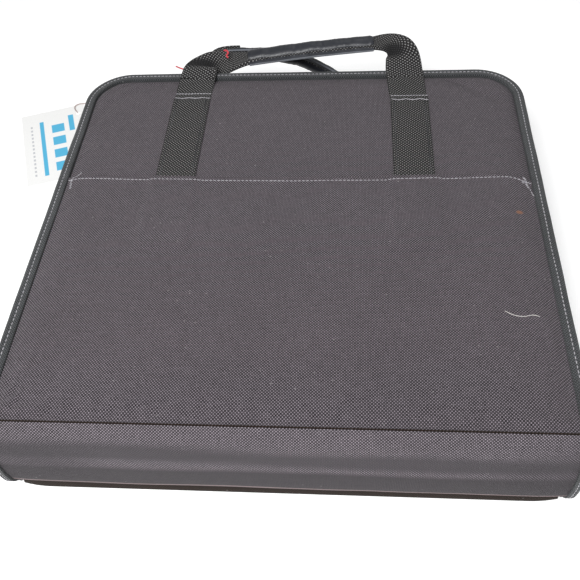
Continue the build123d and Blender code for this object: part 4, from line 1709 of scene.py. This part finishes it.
class CASE_OT_inside(CaseOperator, bpy.types.Operator):
    """Makes the linings, the inner pocket and the elastic bands"""

    bl_idname = "case.inside"
    bl_label = "Inside"

    def make(self, sizes, finish):
        inset = case_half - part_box("back_cover_lining")[1].x
        for cover, way in (("back", 1), ("front", -1)):
            low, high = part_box(f"{cover}_cover_lining")
            glued, face = (low.z, high.z) if way > 0 else (high.z, low.z)

            def glued_side(x, y, edge, glued=glued):
                return np.full_like(x, glued)

            def show_side(x, y, edge, face=face, way=way):
                waves = flat_ripple(x, y * 1.4, 26.0, 40)
                return face - way * (0.00025 + 0.00018 * waves)

            under, over = (glued_side, show_side) if way > 0 else (show_side, glued_side)
            lining, _ = panel_slab(f"{cover}_cover_lining_cloth", inset, low.y, under, over, finish["lining"], 90)
            belongs(lining, f"{cover}_cover", [f"{cover}_cover_lining"])
        low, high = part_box("spine_lining")
        x, z = np.meshgrid(np.linspace(low.x, high.x, 90), np.linspace(low.z, high.z, 20), indexing="ij")
        show = np.stack([x, high.y - 0.0002 + 0.00015 * flat_ripple(x, z, 26.0, 41), z], axis=2)
        hide = np.stack([x, np.full_like(x, low.y), z], axis=2)
        lining = two_faced("spine_lining_cloth", show, hide, finish["lining"], axes=(0, 2))
        belongs(lining, "spine", ["spine_lining"])
        self.inner_pocket(sizes, finish)
        self.bands(finish)
        for node in ("back_cover_board", "front_cover_board", "spine_board"):
            repaint(node, finish["board"])

    def inner_pocket(self, sizes, finish):
        """A flat pocket on the front cover's lining."""
        low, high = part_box("inner_pocket")
        half = high.x
        x, y = np.meshgrid(half * np.linspace(-1, 1, 90), np.linspace(low.y, high.y, 64), indexing="xy")
        puffed = 1 - np.exp(-np.minimum(half - abs(x), y - low.y) / 0.009)
        drop = 0.0001 + puffed * (0.0012 + 0.0005 * flat_ripple(x, y, 13.0, 51))
        thick = 0.0006 + 0.0006 / (1 + np.exp((high.y - y - 0.018) / 0.0005))
        upper = high.z - drop
        top, under = (np.stack([x, y, z], axis=2) for z in (upper, upper - thick))
        pocket = two_faced("inner_pocket_cloth", top, under, finish["lining"], 70.0)
        belongs(pocket, "front_cover", ["inner_pocket"])
        edge, low_edge, mouth = half - 0.0025, low.y + 0.0025, high.y - 0.001
        path = [(-edge, v) for v in np.linspace(mouth, low_edge, 60)]
        path += [(v, low_edge) for v in np.linspace(-edge, edge, 60)][1:]
        path += [(edge, v) for v in np.linspace(low_edge, mouth, 60)][1:]
        hem = [(v, high.y - 0.016) for v in np.linspace(-half + 0.003, half - 0.003, 120)]
        tree = solid_tree(pocket)
        rows = []
        for line in (path, hem):
            hits = [tree.ray_cast(Vector((a, b, 0.0)), Vector(UP))[0] for a, b in line]
            rows.append(([(a, b, hit.z - 0.0001) for (a, b), hit in zip(line, hits)], DOWN))
        pitch = sizes.stitch_pitch
        seam = stitches("inner_pocket_stitches", "front_cover", rows, pitch, finish["thread"], 0.1, 16)

    def bands(self, finish):
        """Two ribbed elastic bands across the back cover's lining."""
        low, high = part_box("inside_bands")
        width, count = 0.025, 160
        for name, y in (("near", low.y + width / 2), ("far", high.y - width / 2)):
            height = (low.z + high.z) / 2 + 0.0002
            path = np.stack([np.linspace(low.x, high.x, count), np.full(count, y), np.full(count, height)], axis=1)
            across, up = (np.tile(way, (count, 1)) for way in ([0.0, 1.0, 0.0], [0.0, 0.0, 1.0]))
            section = band_section(width, 0.0011, 13)
            sections = [section * np.array([1.0, 1.0 if k % 2 == 0 else 0.86]) for k in range(count)]
            band = sweep(f"inside_band_{name}", path, across, up, sections, finish["elastic"])
            belongs(band, "back_cover", ["inside_bands"])
            rows = []
            for end in (low.x + 0.006, high.x - 0.006):
                rows.append(([(end, y + a, high.z + 0.0001) for a in np.linspace(-0.011, 0.011, 10)], UP))
            stitches(f"inside_band_{name}_stitches", "back_cover", rows, TACK_PITCH, finish["thread"], 0.2, 18)


def thread_piece(name, points, radius, material):
    """A loose thread through points in millimetres, as a mesh."""
    path = smooth_path(np.array(points, float) * MM, 5 * len(points))
    ahead = unit(np.gradient(path, axis=0))
    across = unit(np.cross(ahead, np.array([0.13, 0.21, 0.97])))
    up = np.cross(across, ahead)
    ring = [(radius * math.cos(a), radius * math.sin(a)) for a in np.linspace(0, 2 * math.pi, 7)[:-1]]
    return sweep(name, path, across, up, np.array(ring), material)


# The loose red threads on the front handle, in millimetres
RED_LEFT = ((-114.0, 178.0, 94.6), (-111.5, 177.6, 93.4), (-109.0, 177.2, 92.6), (-106.5, 177.0, 91.6))
RED_FOLD = (
    (-70.5, 192.0, 100.6),
    (-68.0, 190.5, 101.4),
    (-66.5, 188.0, 100.6),
    (-68.0, 186.5, 99.0),
    (-66.5, 185.0, 97.6),
)


class CASE_OT_trims(CaseOperator, bpy.types.Operator):
    """Adds the loose threads and lint"""

    bl_idname = "case.trims"
    bl_label = "Loose Threads"

    def make(self, sizes, finish):
        for name, points, radius in (("red_thread_left", RED_LEFT, 0.0006), ("red_thread_fold", RED_FOLD, 0.0008)):
            belongs(thread_piece(name, points, radius, finish["red_thread"]), "front_handle")
        tree = lie_on["pocket"]
        points = []
        for a, b in ((146.0, -90.3), (151.5, -93.6), (157.5, -94.6), (163.5, -93.2), (167.9, -94.0)):
            points.append((a, b, surface_height(tree, a * MM, b * MM, case_top + 0.002) / MM + 0.25))
        belongs(thread_piece("lint_hair", points, 0.00022, finish["lint"]), "front_cover")


FLOOR_REACH = 6.0
FLOOR_GAP = 0.0002  # from the floor up to the case, so that their faces don't fight
FLOOR_GLOW = 0.22  # keeps the floor white round the case
ROOM_LIGHT = 0.38
# Name, place, what it points at, size and power of each light
LIGHTS = (
    ("Key_Light", (-0.20, -0.72, 1.10), (0.0, -0.06, 0.05), 0.55, 19.0),
    ("Fill_Light", (0.4, 1.3, 1.6), (0.0, 0.5, 0.0), 0.9, 3.0),
)


class CASE_OT_stage(bpy.types.Operator):
    """Sets the floor and the lights"""

    bl_idname = "case.stage"
    bl_label = "Floor and Lights"

    def execute(self, context):
        scene = context.scene
        scene.view_settings.view_transform = "Standard"
        floor_mesh = bpy.data.meshes.new("Floor")
        corners = [(a * FLOOR_REACH, b * FLOOR_REACH, 0) for a, b in ((-1, -1), (1, -1), (1, 1), (-1, 1))]
        floor_mesh.from_pydata(corners, [], [(0, 1, 2, 3)])
        floor = bpy.data.objects.new("Floor", floor_mesh)
        floor.location.z = -FLOOR_GAP
        scene.collection.objects.link(floor)
        made, w, shader = blank_material("Floor_White")
        tone = w.mix(w.noise(w.place(), 3.0), (0.90, 0.905, 0.91, 1.0), (0.94, 0.94, 0.935, 1.0))
        w.link(tone, shader.inputs["Base Color"])
        shader.inputs["Roughness"].default_value = 0.6
        shader.inputs["Emission Color"].default_value = WHITE
        shader.inputs["Emission Strength"].default_value = FLOOR_GLOW
        floor_mesh.materials.append(made)
        world = bpy.data.worlds.new("Studio")
        scene.world = world
        world.use_nodes = True
        background = world.node_tree.nodes["Background"]
        background.inputs["Color"].default_value = WHITE
        background.inputs["Strength"].default_value = ROOM_LIGHT
        for name, place, target, size, power in LIGHTS:
            data = bpy.data.lights.new(name, "AREA")
            data.shape = "DISK"
            data.size = size
            data.energy = power
            light = bpy.data.objects.new(name, data)
            scene.collection.objects.link(light)
            light.location = place
            light.rotation_euler = (Vector(target) - Vector(place)).to_track_quat("-Z", "Y").to_euler()
        return {"FINISHED"}


class CASE_PT_panel(bpy.types.Panel):
    """Lists the makers of the case's pieces"""

    bl_idname = "CASE_PT_panel"
    bl_label = "Portfolio Case"
    bl_space_type = "VIEW_3D"
    bl_region_type = "UI"
    bl_category = "Portfolio Case"

    def draw(self, context):
        for settings in (context.scene.case_sizes, context.scene.case_colours):
            for name in settings.bl_rna.properties.keys():
                if name not in {"rna_type", "name"}:
                    self.layout.prop(settings, name)
        for operator in MAKERS:
            self.layout.operator(operator.bl_idname)


MAKERS = (
    CASE_OT_camera,
    CASE_OT_tag,
    CASE_OT_covers,
    CASE_OT_bindings,
    CASE_OT_spine,
    CASE_OT_walls,
    CASE_OT_sliders,
    CASE_OT_pocket,
    CASE_OT_straps,
    CASE_OT_handles,
    CASE_OT_inside,
    CASE_OT_trims,
    CASE_OT_stage,
)
CLASSES = (CaseSizes, CaseColours, *MAKERS, CASE_PT_panel)


def register():
    for cls in CLASSES:
        bpy.utils.register_class(cls)
    bpy.types.Scene.case_sizes = bpy.props.PointerProperty(type=CaseSizes)
    bpy.types.Scene.case_colours = bpy.props.PointerProperty(type=CaseColours)


def unregister():
    del bpy.types.Scene.case_colours
    del bpy.types.Scene.case_sizes
    for cls in reversed(CLASSES):
        bpy.utils.unregister_class(cls)


def main():
    register()
    for maker in MAKERS:
        getattr(bpy.ops.case, maker.bl_idname.split(".")[1])()


if __name__ == "__main__":
    main()
